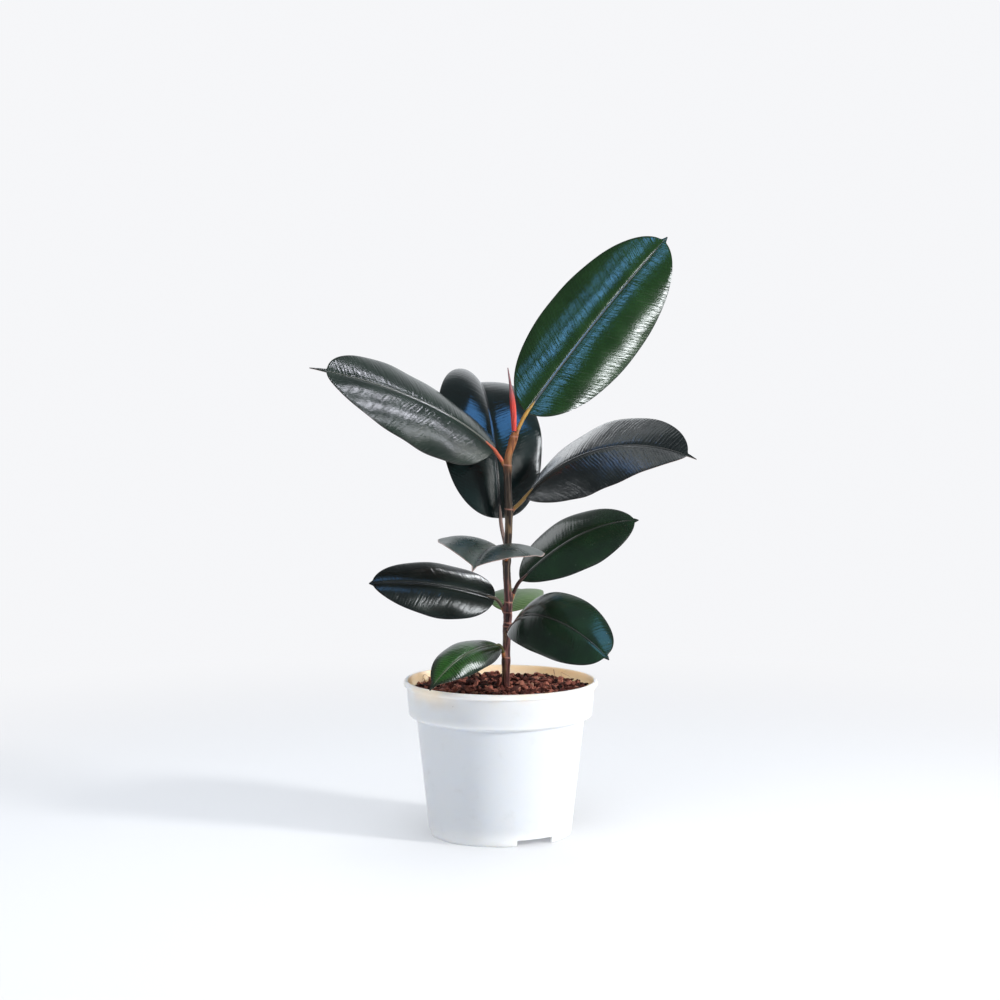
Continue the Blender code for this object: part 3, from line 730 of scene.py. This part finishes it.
# %% The colours of each leaf
BLACKISH = (0.0045, 0.0075, 0.0075)
TOPS = {
    "leaf_01": dict(deep=(0.009, 0.038, 0.008), light=(0.020, 0.085, 0.014), vein=(0.06, 0.15, 0.045),
                    rim=(0.012, 0.011, 0.014), rib_colour=(0.08, 0.10, 0.06), rim_width=7, veins=0.22,
                    grooves=0.5, dusty=0.03),
    "leaf_02": dict(deep=(0.005, 0.013, 0.008), light=(0.006, 0.026, 0.010), vein=(0.02, 0.05, 0.04),
                    rim=(0.008, 0.010, 0.010), dusty=0.05, streaky=1.2),
    # painted light: leaf_03's pale greens stand for light shining through the leaf
    "leaf_03": dict(deep=(0.035, 0.11, 0.02), light=(0.085, 0.22, 0.04), vein=(0.30, 0.40, 0.20),
                    rim=(0.14, 0.19, 0.10), rib_colour=(0.22, 0.3, 0.15), veins=0.6, grooves=0.8, rough=0.42, coat=0.1),
    "leaf_04": dict(deep=BLACKISH, light=(0.006, 0.012, 0.009), vein=(0.015, 0.03, 0.025), rim=(0.006, 0.008, 0.010),
                    rib_colour=(0.02, 0.022, 0.022), streaky=1.5),
    "leaf_05": dict(deep=(0.005, 0.013, 0.008), light=(0.006, 0.025, 0.009), vein=(0.02, 0.045, 0.03),
                    rim=(0.008, 0.011, 0.010), dusty=0.10, rough=0.24),
    "leaf_06": dict(deep=(0.009, 0.020, 0.016), light=(0.015, 0.032, 0.025), vein=(0.04, 0.06, 0.05),
                    rim=(0.42, 0.30, 0.27), rib_colour=(0.05, 0.05, 0.045), rim_width=1.3, dusty=0.03, rough=0.28,
                    coat=0.0),
    "leaf_07": dict(deep=BLACKISH, light=(0.005, 0.014, 0.014), vein=(0.015, 0.04, 0.04), rim=(0.008, 0.012, 0.012),
                    rib_colour=(0.03, 0.03, 0.032), streaky=1.3, rough=0.14),
    "leaf_08": dict(deep=(0.004, 0.006, 0.007), light=(0.007, 0.011, 0.011), vein=(0.035, 0.045, 0.042),
                    rim=(0.009, 0.011, 0.011), rib_colour=(0.05, 0.05, 0.048), veins=0.25, grooves=0.8, rough=0.22,
                    streaky=2.5),
    "leaf_09": dict(deep=(0.007, 0.013, 0.011), light=(0.009, 0.020, 0.013), vein=(0.035, 0.05, 0.043),
                    rim=(0.009, 0.012, 0.010), rib_colour=(0.10, 0.105, 0.09), veins=0.2, grooves=0.45,
                    streaky=2.6, rough=0.22),
    # leaf_10's greens are partly its own colour and partly painted light shining through the leaf
    "leaf_10": dict(deep=(0.005, 0.022, 0.004), light=(0.009, 0.037, 0.006), vein=(0.022, 0.062, 0.03),
                    rim=(0.008, 0.016, 0.009), rib_colour=(0.085, 0.08, 0.08), rim_width=2, grooves=0.5,
                    streaky=3.0, rough=0.18),
}
STALKS = {
    "leaf_01": ((0.06, 0.06, 0.018), (0.05, 0.07, 0.025)), "leaf_02": ((0.07, 0.025, 0.02), (0.06, 0.045, 0.035)),
    "leaf_03": ((0.20, 0.24, 0.08), (0.20, 0.27, 0.11)), "leaf_04": ((0.07, 0.045, 0.03), (0.06, 0.05, 0.035)),
    "leaf_05": ((0.035, 0.014, 0.012), (0.05, 0.035, 0.03)), "leaf_06": ((0.16, 0.07, 0.045), (0.16, 0.11, 0.08)),
    "leaf_07": ((0.22, 0.15, 0.125), (0.18, 0.14, 0.115)), "leaf_08": ((0.26, 0.15, 0.045), (0.12, 0.10, 0.05)),
    "leaf_09": ((0.42, 0.085, 0.04), (0.20, 0.10, 0.06)), "leaf_10": ((0.40, 0.22, 0.035), (0.17, 0.14, 0.05)),
}
GREEN_LEAVES = ("leaf_01", "leaf_10")
dark_under = make_under("underside_dark", (0.055, 0.035, 0.020), (0.10, 0.024, 0.022))
green_under = make_under("underside_green", (0.07, 0.13, 0.04), (0.12, 0.12, 0.05))
print("colour sets for", len(TOPS), "leaves")

# %% [markdown]
# Solidify gives the sheet its thickness, less towards the margin, and puts the underside in its own material.
# The rod of stalk and rib is joined to it below.

# %% All ten leaves
RIB_SHARE = 0.93
RIB_TIP_RADIUS = 0.35 * MM


def make_rib(leaf, stalk, rows):
    points, radii, marks = list(stalk), [STALK_RADIUS] * len(stalk), [0.0] * len(stalk)
    for point, ahead, share in rows[2::3]:
        if share < RIB_SHARE:
            radius = STALK_RADIUS + (RIB_TIP_RADIUS - STALK_RADIUS) * (share / RIB_SHARE) ** 0.6
            side = ahead.cross(Vector((0, 0, 1))).normalized()
            side.rotate(Matrix.Rotation(math.radians(-leaf.roll), 3, ahead))
            under = ahead.cross(side).normalized()
            points.append(point + under * (radius - 0.1 * MM) * min(1, share * 12))
            radii.append(radius)
            marks.append(min(1, share * 6))
    rib = rod(points, radii, 16)
    tree = np.array([tuple(point) for point in points])
    values = []
    for corner in rib.data.vertices:
        nearest = int(np.argmin(((tree - np.array(corner.co)) ** 2).sum(1)))
        values.append(marks[nearest])
    rib.data.attributes.new("on_rib", "FLOAT", "POINT").data.foreach_set("value", values)
    return rib


for leaf in LEAVES:
    sheet, stalk, rows = make_sheet(leaf)
    under = green_under if leaf.name in (*GREEN_LEAVES, "leaf_03") else dark_under
    top = make_top(leaf.name + "_top", **TOPS[leaf.name])
    stalk_finish = make_stalk_finish(leaf.name + "_stalk", *STALKS[leaf.name])
    for finish in (top, under, stalk_finish):
        sheet.data.materials.append(finish)
    apply_modifier(sheet, "SOLIDIFY", thickness=BLADE_THICKNESS, offset=0, vertex_group="thin",
                   thickness_vertex_group=0, material_offset=1, material_offset_rim=1)
    rib = make_rib(leaf, stalk, rows)
    for finish in (top, under, stalk_finish):
        rib.data.materials.append(finish)
    for face in rib.data.polygons:
        face.material_index = 2
    blade = joined(sheet, rib)
    choose(blade)
    bpy.ops.object.shade_smooth_by_angle(angle=math.radians(50))
    slot = "pale_leaf" if leaf.name == "leaf_03" else "green_leaf" if leaf.name in GREEN_LEAVES else "dark_leaf"
    hand_over(blade, leaf.name + "_blade", leaf.name, slot)

# %% [markdown]
# ## The bud sheath
#
# The next leaf waits rolled up in a thin sheath, coral red with darker edges and a dry tip. It is a slender
# rod with a seam that winds once round it, so a second, very thin rod follows the first one's skin.

# %% Sheath and seam
SHEATH_ROUTE = ((10.3, -1.6, 312.6), (9.9, -2.4, 325), (8.9, -3, 337), (7.4, -3.6, 348), (5.4, -4, 361))
SHEATH_RADII = ((0, 1.75), (0.15, 2.15), (0.35, 2.35), (0.55, 1.9), (0.75, 1.0), (0.9, 0.6), (1, 0.3))
sheath_line = [AXIS + point * MM for point in smooth_curve(SHEATH_ROUTE, 60)]
shares = np.linspace(0, 1, len(sheath_line))
sheath_radii = np.interp(shares, [share for share, _ in SHEATH_RADII], [radius for _, radius in SHEATH_RADII]) * MM
sheath = rod(sheath_line, sheath_radii, 20)
seam_line = []
for share, point, radius in zip(shares, sheath_line, sheath_radii):
    turn = math.radians(-120 + 130 * share)
    seam_line.append(point + Vector((math.cos(turn), math.sin(turn), 0)) * radius * 0.96)
seam = rod(seam_line, [max(0.1, 0.22 * (1 - share)) * MM for share in shares], 8)
seam.data.attributes.new("seam", "FLOAT", "POINT").data.foreach_set("value", [1.0] * len(seam.data.vertices))
sheath = joined(sheath, seam)

coral, shader = new_finish("coral", Roughness=0.34, IOR=1.45)
place = add_node(coral, "ShaderNodeTexCoord").outputs["Object"]
z = add_node(coral, "ShaderNodeSeparateXYZ", {0: place}).outputs["Z"]
streak = grain(coral, place, 500, 3, 0.6, (1, 1, 0.06))
colour = blended(coral, spread(coral, streak, 0.35, 0.65), (0.50, 0.035, 0.030), (0.72, 0.10, 0.07))
colour = blended(coral, spread(coral, z, 0.330, 0.350), colour, (0.22, 0.11, 0.12))
seam_mark = add_node(coral, "ShaderNodeAttribute", attribute_name="seam").outputs["Fac"]
colour = blended(coral, sums(coral, "MULTIPLY", seam_mark, 0.8), colour, (0.16, 0.02, 0.025))
link(coral, colour, shader, "Base Color")
relief(coral, shader, streak, 0.06 * MM, 0.6)
choose(sheath)
bpy.ops.object.shade_smooth_by_angle(angle=math.radians(50))
hand_over(sheath, "bud_sheath_roll", "bud_sheath", "coral", coral)

# %% [markdown]
# ## The soil
#
# The pot is filled with coarse coir: chips of two to six millimetres with fibres between them. The bulk is a
# turned body with a lumpy top. A few chips are modelled, roughened and flattened, and copies of them are
# strewn over the top with a turn, size and tone of their own.

# %% The bulk of the soil
SOIL_CORNERS = ((50.3, 8.3), (53.6, 11.8), (62.6, 89.4), (66, 92.3), (68.9, 96), (70.2, 110.6))
SOIL_LEVEL = 111.2
CHIP_KINDS = 7
CHIP_COUNT = 2300
TWIG_ENDS = (Vector((-15, -2, 116.2)), Vector((-3.4, -7.4, 115)))  # of the loose twig, which no chip covers
TWIG_CLEAR = 2.6
rng = np.random.default_rng(11)


def soil_height(x, y):
    """Height in mm of the soil's top at a place in mm about the pot's axis."""
    heap = 1.5 * math.cos(min(math.hypot(x, y) / 72.8, 1) * math.pi / 2)
    mound = 2.1 * math.exp(-((x - 27) ** 2 + (y - 24) ** 2) / 520)
    lumps = noise.noise(Vector((x, y, 0)) / 7) + 0.6 * noise.noise(Vector((y, x, 9)) / 18)
    return SOIL_LEVEL + heap + mound + 1.5 * lumps


rings_out = [Vector((radius, SOIL_LEVEL)) for radius in np.linspace(70.2, 1.0, 44)]
bulk = turned_shell([Vector(corner) for corner in SOIL_CORNERS] + rings_out, 96)
for corner in bulk.data.vertices:
    spot = (bulk.matrix_world @ corner.co - AXIS) / MM
    if spot.z > SOIL_LEVEL - 0.7:
        corner.co.z += (soil_height(spot.x, spot.y) - SOIL_LEVEL) * MM
print("the soil's bulk has", len(bulk.data.polygons), "faces")

# %% Seven kinds of chip
chips = []
for kind in range(CHIP_KINDS):
    bpy.ops.object.select_all(action="DESELECT")
    bpy.ops.mesh.primitive_cube_add(size=1)
    chip = bpy.context.active_object
    bpy.ops.object.mode_set(mode="EDIT")
    bpy.ops.mesh.subdivide(number_cuts=1, smoothness=0.5)
    bpy.ops.transform.vertex_random(offset=0.16, uniform=0.8, normal=0.2, seed=kind)
    long, flat = 1.0 + 0.22 * kind, 0.75 - 0.06 * kind
    bpy.ops.transform.resize(value=(long, 0.9, flat))
    bpy.ops.object.mode_set(mode="OBJECT")
    chips.append(np.array([tuple(corner.co) for corner in chip.data.vertices]))
    chip_faces = [tuple(face.vertices) for face in chip.data.polygons]
    bpy.data.objects.remove(chip)
print("a chip has", len(chip_faces), "faces")

# %% Chips strewn over the top
corners, faces, tones = [], [], []
twig_spots = [TWIG_ENDS[0].lerp(TWIG_ENDS[1], step / 8) for step in range(9)]
placed = 0
while placed < CHIP_COUNT:
    x, y = rng.uniform(-69, 69, 2)
    size = 1.2 + 2.9 * rng.random() ** 2
    if math.hypot(x, y) > 69.6 - size * 0.9 or math.hypot(x - 4, y) < 3.6 + size * 0.55:
        continue
    if min(math.hypot(x - spot.x, y - spot.y) for spot in twig_spots) < TWIG_CLEAR:
        continue
    shape = chips[int(rng.integers(CHIP_KINDS))]
    turn = Matrix.Rotation(rng.uniform(0, math.tau), 3, "Z") @ Matrix.Rotation(rng.normal(0, 0.55), 3, "X")
    turn = turn @ Matrix.Rotation(rng.normal(0, 0.55), 3, "Y")
    spot = np.array((x, y, soil_height(x, y) + rng.uniform(-0.5, 0.85) * size * 0.7))
    grown = (shape * size) @ np.array(turn).T + spot
    start = len(corners)
    corners.extend((grown * MM + np.array(AXIS)).tolist())
    faces.extend([tuple(start + index for index in face) for face in chip_faces])
    tones.extend([rng.random()] * len(shape))
    placed += 1
strewn = bpy.data.meshes.new("chips")
strewn.from_pydata(corners, [], faces)
strewn.attributes.new("tone", "FLOAT", "POINT").data.foreach_set("value", tones)
chip_layer = bpy.data.objects.new("chips", strewn)
bpy.context.scene.collection.objects.link(chip_layer)
print("chips:", placed, "with", len(faces), "faces")

# %% Fibres between the chips
fibres = []
FIBRE_SPOTS = ((42, 28, 9), (49, 22, 8), (-55, 20, 9), (-60, 8, 7))
for count in range(64):
    if count < len(FIBRE_SPOTS):
        x, y, tall = FIBRE_SPOTS[count]
    else:
        radius, turn = 66 * math.sqrt(rng.random()), rng.uniform(0, math.tau)
        x, y, tall = radius * math.cos(turn), radius * math.sin(turn), rng.uniform(0.6, 2.4)
    turn, length = rng.uniform(0, math.tau), rng.uniform(6, 15)
    line = []
    for step in range(9):
        part = step / 8
        bend = turn + 1.3 * math.sin(part * 2.2 + count)
        out_x = x + length * part * math.cos(bend) * 0.6
        out_y = y + length * part * math.sin(bend) * 0.6
        if math.hypot(out_x, out_y) > 69:
            break
        line.append(AXIS + Vector((out_x, out_y, soil_height(out_x, out_y) + tall * math.sin(part * 2.6))) * MM)
    if len(line) > 3:
        fibres.append(rod(line, [0.17 * MM] * (len(line) - 1) + [0.06 * MM], 4))
fibre_layer = joined(*fibres)
values = [1.6] * len(fibre_layer.data.vertices)
fibre_layer.data.attributes.new("tone", "FLOAT", "POINT").data.foreach_set("value", values)
print("fibres:", len(fibres))

# %% [markdown]
# Coir is red-brown with dark and pale chips side by side. The tone stored on each chip picks its colour, and
# fine noise roughens it.

# %% Coir
coir, shader = new_finish("coir", Roughness=0.85, IOR=1.4)
place = add_node(coir, "ShaderNodeTexCoord").outputs["Object"]
tone = add_node(coir, "ShaderNodeAttribute", attribute_name="tone").outputs["Fac"]
speck = grain(coir, place, 800, 4, 0.65)
dark = blended(coir, spread(coir, tone, 0.0, 0.5, smooth=False), (0.006, 0.003, 0.003), (0.14, 0.044, 0.035))
colour = blended(coir, spread(coir, tone, 0.5, 0.92, smooth=False), dark, (0.46, 0.17, 0.12))
colour = blended(coir, spread(coir, tone, 0.93, 1.0), colour, (0.42, 0.23, 0.16))
colour = blended(coir, spread(coir, speck, 0.45, 0.75, 0, 0.6), colour, (0.03, 0.012, 0.009))
link(coir, colour, shader, "Base Color")
relief(coir, shader, speck, 0.25 * MM, 0.9)
soil = joined(bulk, chip_layer, fibre_layer)
hand_over(soil, "soil_coir", "soil", "coir", coir)

# %% [markdown]
# ## The loose twig
#
# A dry bit of twig lies on the soil left of the stem. Knots and a wavering thickness make it more than a rod.

# %% Twig
twig_line = []
for step in range(25):
    part = step / 24
    point = TWIG_ENDS[0].lerp(TWIG_ENDS[1], part)
    point.z += 0.7 * math.sin(part * math.pi)
    twig_line.append(AXIS + point * MM)
twig_radii = [(0.62 + 0.12 * math.sin(step * 1.9) + 0.25 * math.exp(-((step - 9) / 1.4) ** 2)) * MM
              for step in range(25)]
twig = rod(twig_line, twig_radii, 12)
choose(twig)
bpy.ops.object.shade_smooth_by_angle(angle=math.radians(45))
twig_bark, shader = new_finish("twig_bark", Roughness=0.7)
place = add_node(twig_bark, "ShaderNodeTexCoord").outputs["Object"]
streak = grain(twig_bark, place, 500, 4, 0.65)
link(twig_bark, blended(twig_bark, streak, (0.010, 0.006, 0.005), (0.075, 0.04, 0.028)), shader, "Base Color")
relief(twig_bark, shader, streak, 0.2 * MM, 0.9)
hand_over(twig, "twig_dry", "twig", "bark", twig_bark)

# %% [markdown]
# ## Floor, camera and light
#
# The floor is plain and pale, and turns evenly white a few steps away, so that no horizon cuts the picture.
# The camera stands where the photographer stood: a long lens nearly two metres away, looking down five
# degrees.

# %% Floor
BACKGROUND = (0.975, 0.98, 1.0, 1)
BACKGROUND_STRENGTH = 0.945
bpy.ops.object.select_all(action="DESELECT")
bpy.ops.mesh.primitive_circle_add(vertices=96, radius=12, fill_type="TRIFAN", location=(0, 0, 0))
floor = bpy.context.active_object
floor.name = "floor"
pale, shader = new_finish("pale_floor", Base_Color=(0.50, 0.505, 0.51, 1), Roughness=0.7)
place = add_node(pale, "ShaderNodeTexCoord").outputs["Object"]
far = add_node(pale, "ShaderNodeVectorMath", {0: place}, operation="LENGTH").outputs["Value"]
glow = add_node(pale, "ShaderNodeEmission", {"Color": BACKGROUND, "Strength": BACKGROUND_STRENGTH})
mix = add_node(pale, "ShaderNodeMixShader", {0: spread(pale, far, 0.25, 0.95)})
output = pale.node_tree.nodes["Material Output"]
pale.node_tree.links.new(shader.outputs[0], mix.inputs[1])
pale.node_tree.links.new(glow.outputs[0], mix.inputs[2])
pale.node_tree.links.new(mix.outputs[0], output.inputs["Surface"])
floor.data.materials.append(pale)

# %% Camera
camera_data = bpy.data.cameras.new("camera")
camera = bpy.data.objects.new("camera", camera_data)
bpy.context.scene.collection.objects.link(camera)
camera.location = AXIS + Vector((-0.0005, -1.914, 0.4334))
camera.rotation_euler = (math.radians(90 - 5.2), 0, 0)
camera_data.lens = 90
camera_data.sensor_width = 36
bpy.context.scene.camera = camera
print("camera at", [round(value, 3) for value in camera.location])

# %% [markdown]
# A glossy dark leaf shows its surroundings more than its own colour. The photo's room does three things: a low
# sun from the right whitens the pot and the table, the dark room behind the camera blackens the leaves, and
# bits of sky and window draw blue and white bands on them. Each has a light of its own here. A soft panel that
# leaves no reflection fills the shade, and panels that only reflect draw the bands, each on its own leaves.

# %% Lights
def toward(turn, height):
    """A direction. turn: from the camera's side towards the right, height: above level, both in degrees."""
    return direction(turn - 90, height)


def panel(name, turn, height, size, brightness, colour, aim=(0, 0, 0.25), matte=True, glossy=True, only=()):
    """An area light. brightness: of its face. only: the pieces that it shines on, and that cast its shadows."""
    light = bpy.data.lights.new(name, "AREA")
    light.shape = "RECTANGLE"
    light.size, light.size_y = size
    light.energy = brightness * math.pi * size[0] * size[1]
    light.color = colour
    thing = bpy.data.objects.new(name, light)
    target = Vector(aim)
    thing.location = target + toward(turn, height) * PANEL_DISTANCE
    thing.rotation_euler = (target - thing.location).to_track_quat("-Z", "Y").to_euler()
    thing.visible_camera = False
    thing.visible_diffuse = matte
    thing.visible_glossy = glossy
    bpy.context.scene.collection.objects.link(thing)
    if only:
        group = bpy.data.collections.new(name + "_pieces")
        for piece_name in only:
            group.objects.link(bpy.data.objects[piece_name])
        thing.light_linking.receiver_collection = group
        thing.light_linking.blocker_collection = group
    return thing


PANEL_DISTANCE = 2.4
WINDOW = (0.94, 0.97, 1.0)
SUN = (1.0, 0.985, 0.965)
panel("sun", 64, 18, (0.34, 0.34), 178, SUN, glossy=False)
panel("sun_glints", 64, 18, (0.34, 0.34), 70, SUN, matte=False)
panel("fill", -30, 42, (2.0, 1.6), 1.4, (0.86, 0.93, 1.0), glossy=False)
panel("top_fill", 20, 82, (2.0, 2.0), 3.0, (0.88, 0.93, 1.0), glossy=False)
panel("table_fill", 0, 75, (2.0, 2.0), 6.4, (0.93, 0.95, 1.0), glossy=False, only=("floor",))
panel("pot_fill", -50, 14, (2.0, 1.6), 0.85, (1.0, 0.97, 0.98), glossy=False, only=("pot_shell",))
collar_glow = panel("collar_glow", 0, 0, (0.09, 0.02), 3.2, (1.0, 0.80, 0.60), glossy=False, only=("pot_shell",))
collar_glow.location = AXIS + Vector((0, 0.01, 0.121))

# Panels that only show in the gloss of one leaf: its place, and the panel's direction, size and brightness
TOP_LEAF, LEFT_LEAF, CREST_LEAF, RIGHT_LEAF = (0.09, 0.03, 0.39), (-0.08, 0, 0.33), (0, 0.06, 0.30), (0.08, 0, 0.28)
MIDDLE_LEAF, LOW_LEFT, LOW_RIGHT, LOWEST = (0.06, 0.01, 0.22), (-0.06, 0, 0.18), (0.07, 0, 0.15), (-0.04, 0, 0.13)
GLOSS = (
    ("leaf_10_blade", TOP_LEAF, -9, 40, (0.7, 0.5), 8, (0.18, 0.50, 1.0)),
    ("leaf_10_blade", TOP_LEAF, -33, 49, (0.5, 0.5), 3.6, (0.18, 0.52, 1.0)),
    ("leaf_10_blade", TOP_LEAF, 41, 6, (0.6, 0.7), 26, WINDOW),
    ("leaf_09_blade", LEFT_LEAF, 68, 51, (0.3, 0.45), 24, (0.90, 0.90, 1.0)),
    ("leaf_09_blade", LEFT_LEAF, 52, 33, (0.3, 0.7), 9, (0.90, 0.92, 1.0)),
    ("leaf_09_blade", LEFT_LEAF, 104, 66, (0.6, 0.16), 26, (0.90, 0.90, 1.0)),
    ("leaf_08_blade", RIGHT_LEAF, -132, 69, (0.7, 0.2), 3, (0.2, 0.45, 1.0)),
    ("leaf_08_blade", RIGHT_LEAF, -73, 28, (0.3, 0.22), 9, WINDOW),
    ("leaf_08_blade", RIGHT_LEAF, -166, 26, (1.3, 0.9), 1.6, WINDOW),
    ("leaf_08_blade", RIGHT_LEAF, -172, 68, (0.9, 1.0), 0.9, WINDOW),
    ("leaf_07_blade", CREST_LEAF, 72, 58, (1.2, 1.1), 4.4, (0.12, 0.42, 1.0)),
    ("leaf_07_blade", CREST_LEAF, 91, 16, (0.2, 0.35), 20, WINDOW),
    ("leaf_05_blade", MIDDLE_LEAF, -128, 55, (1.2, 0.9), 2.4, WINDOW),
    ("leaf_04_blade", LOW_LEFT, 40, 40, (0.22, 0.25), 190, WINDOW),
    ("leaf_04_blade", LOW_LEFT, 147, 51, (0.3, 0.25), 34, WINDOW),
    ("leaf_04_blade", LOW_LEFT, 14, 74, (0.35, 0.35), 3, (0.2, 0.5, 1.0)),
    ("leaf_02_blade", LOW_RIGHT, 62, 53, (1.3, 0.9), 2.2, (0.2, 0.6, 1.0)),
    ("leaf_01_blade", LOWEST, 106, 50, (0.6, 0.7), 14, WINDOW),
)
for number, (blade_name, spot, turn, height, size, brightness, colour) in enumerate(GLOSS):
    panel(f"gloss_{number:02d}", turn, height, size, brightness, colour, aim=spot, matte=False, only=(blade_name,))

world = bpy.data.worlds.new("surroundings")
bpy.context.scene.world = world
world.use_nodes = True
tree = world.node_tree
way = tree.nodes.new("ShaderNodeTexCoord").outputs["Generated"]
parts = tree.nodes.new("ShaderNodeSeparateXYZ")
tree.links.new(way, parts.inputs[0])


def world_ramp(value, low, high, new_low, new_high):
    ramp = tree.nodes.new("ShaderNodeMapRange")
    ramp.interpolation_type = "SMOOTHSTEP"
    tree.links.new(value, ramp.inputs["Value"])
    for name, number in (("From Min", low), ("From Max", high), ("To Min", new_low), ("To Max", new_high)):
        ramp.inputs[name].default_value = number
    return ramp.outputs[0]


# The wall behind the plant is bright, the room's ceiling and the camera's side are dim
behind = world_ramp(parts.outputs["Y"], 0.25, 0.75, 0.0, 0.72)
below_ceiling = world_ramp(parts.outputs["Z"], 0.55, 0.85, 1.0, 0.12)
wall = tree.nodes.new("ShaderNodeMath")
wall.operation = "MULTIPLY"
tree.links.new(behind, wall.inputs[0])
tree.links.new(below_ceiling, wall.inputs[1])
whole = tree.nodes.new("ShaderNodeMath")
whole.operation = "ADD"
tree.links.new(wall.outputs[0], whole.inputs[0])
whole.inputs[1].default_value = 0.14
room = tree.nodes["Background"]
room.inputs["Color"].default_value = (0.93, 0.96, 1.0, 1)
tree.links.new(whole.outputs[0], room.inputs["Strength"])
white = tree.nodes.new("ShaderNodeBackground")
white.inputs["Color"].default_value = BACKGROUND
white.inputs["Strength"].default_value = BACKGROUND_STRENGTH
seen = tree.nodes.new("ShaderNodeLightPath")
choice = tree.nodes.new("ShaderNodeMixShader")
tree.links.new(seen.outputs["Is Camera Ray"], choice.inputs[0])
tree.links.new(room.outputs[0], choice.inputs[1])
tree.links.new(white.outputs[0], choice.inputs[2])
tree.links.new(choice.outputs[0], tree.nodes["World Output"].inputs["Surface"])
bpy.context.scene.view_settings.view_transform = "Standard"
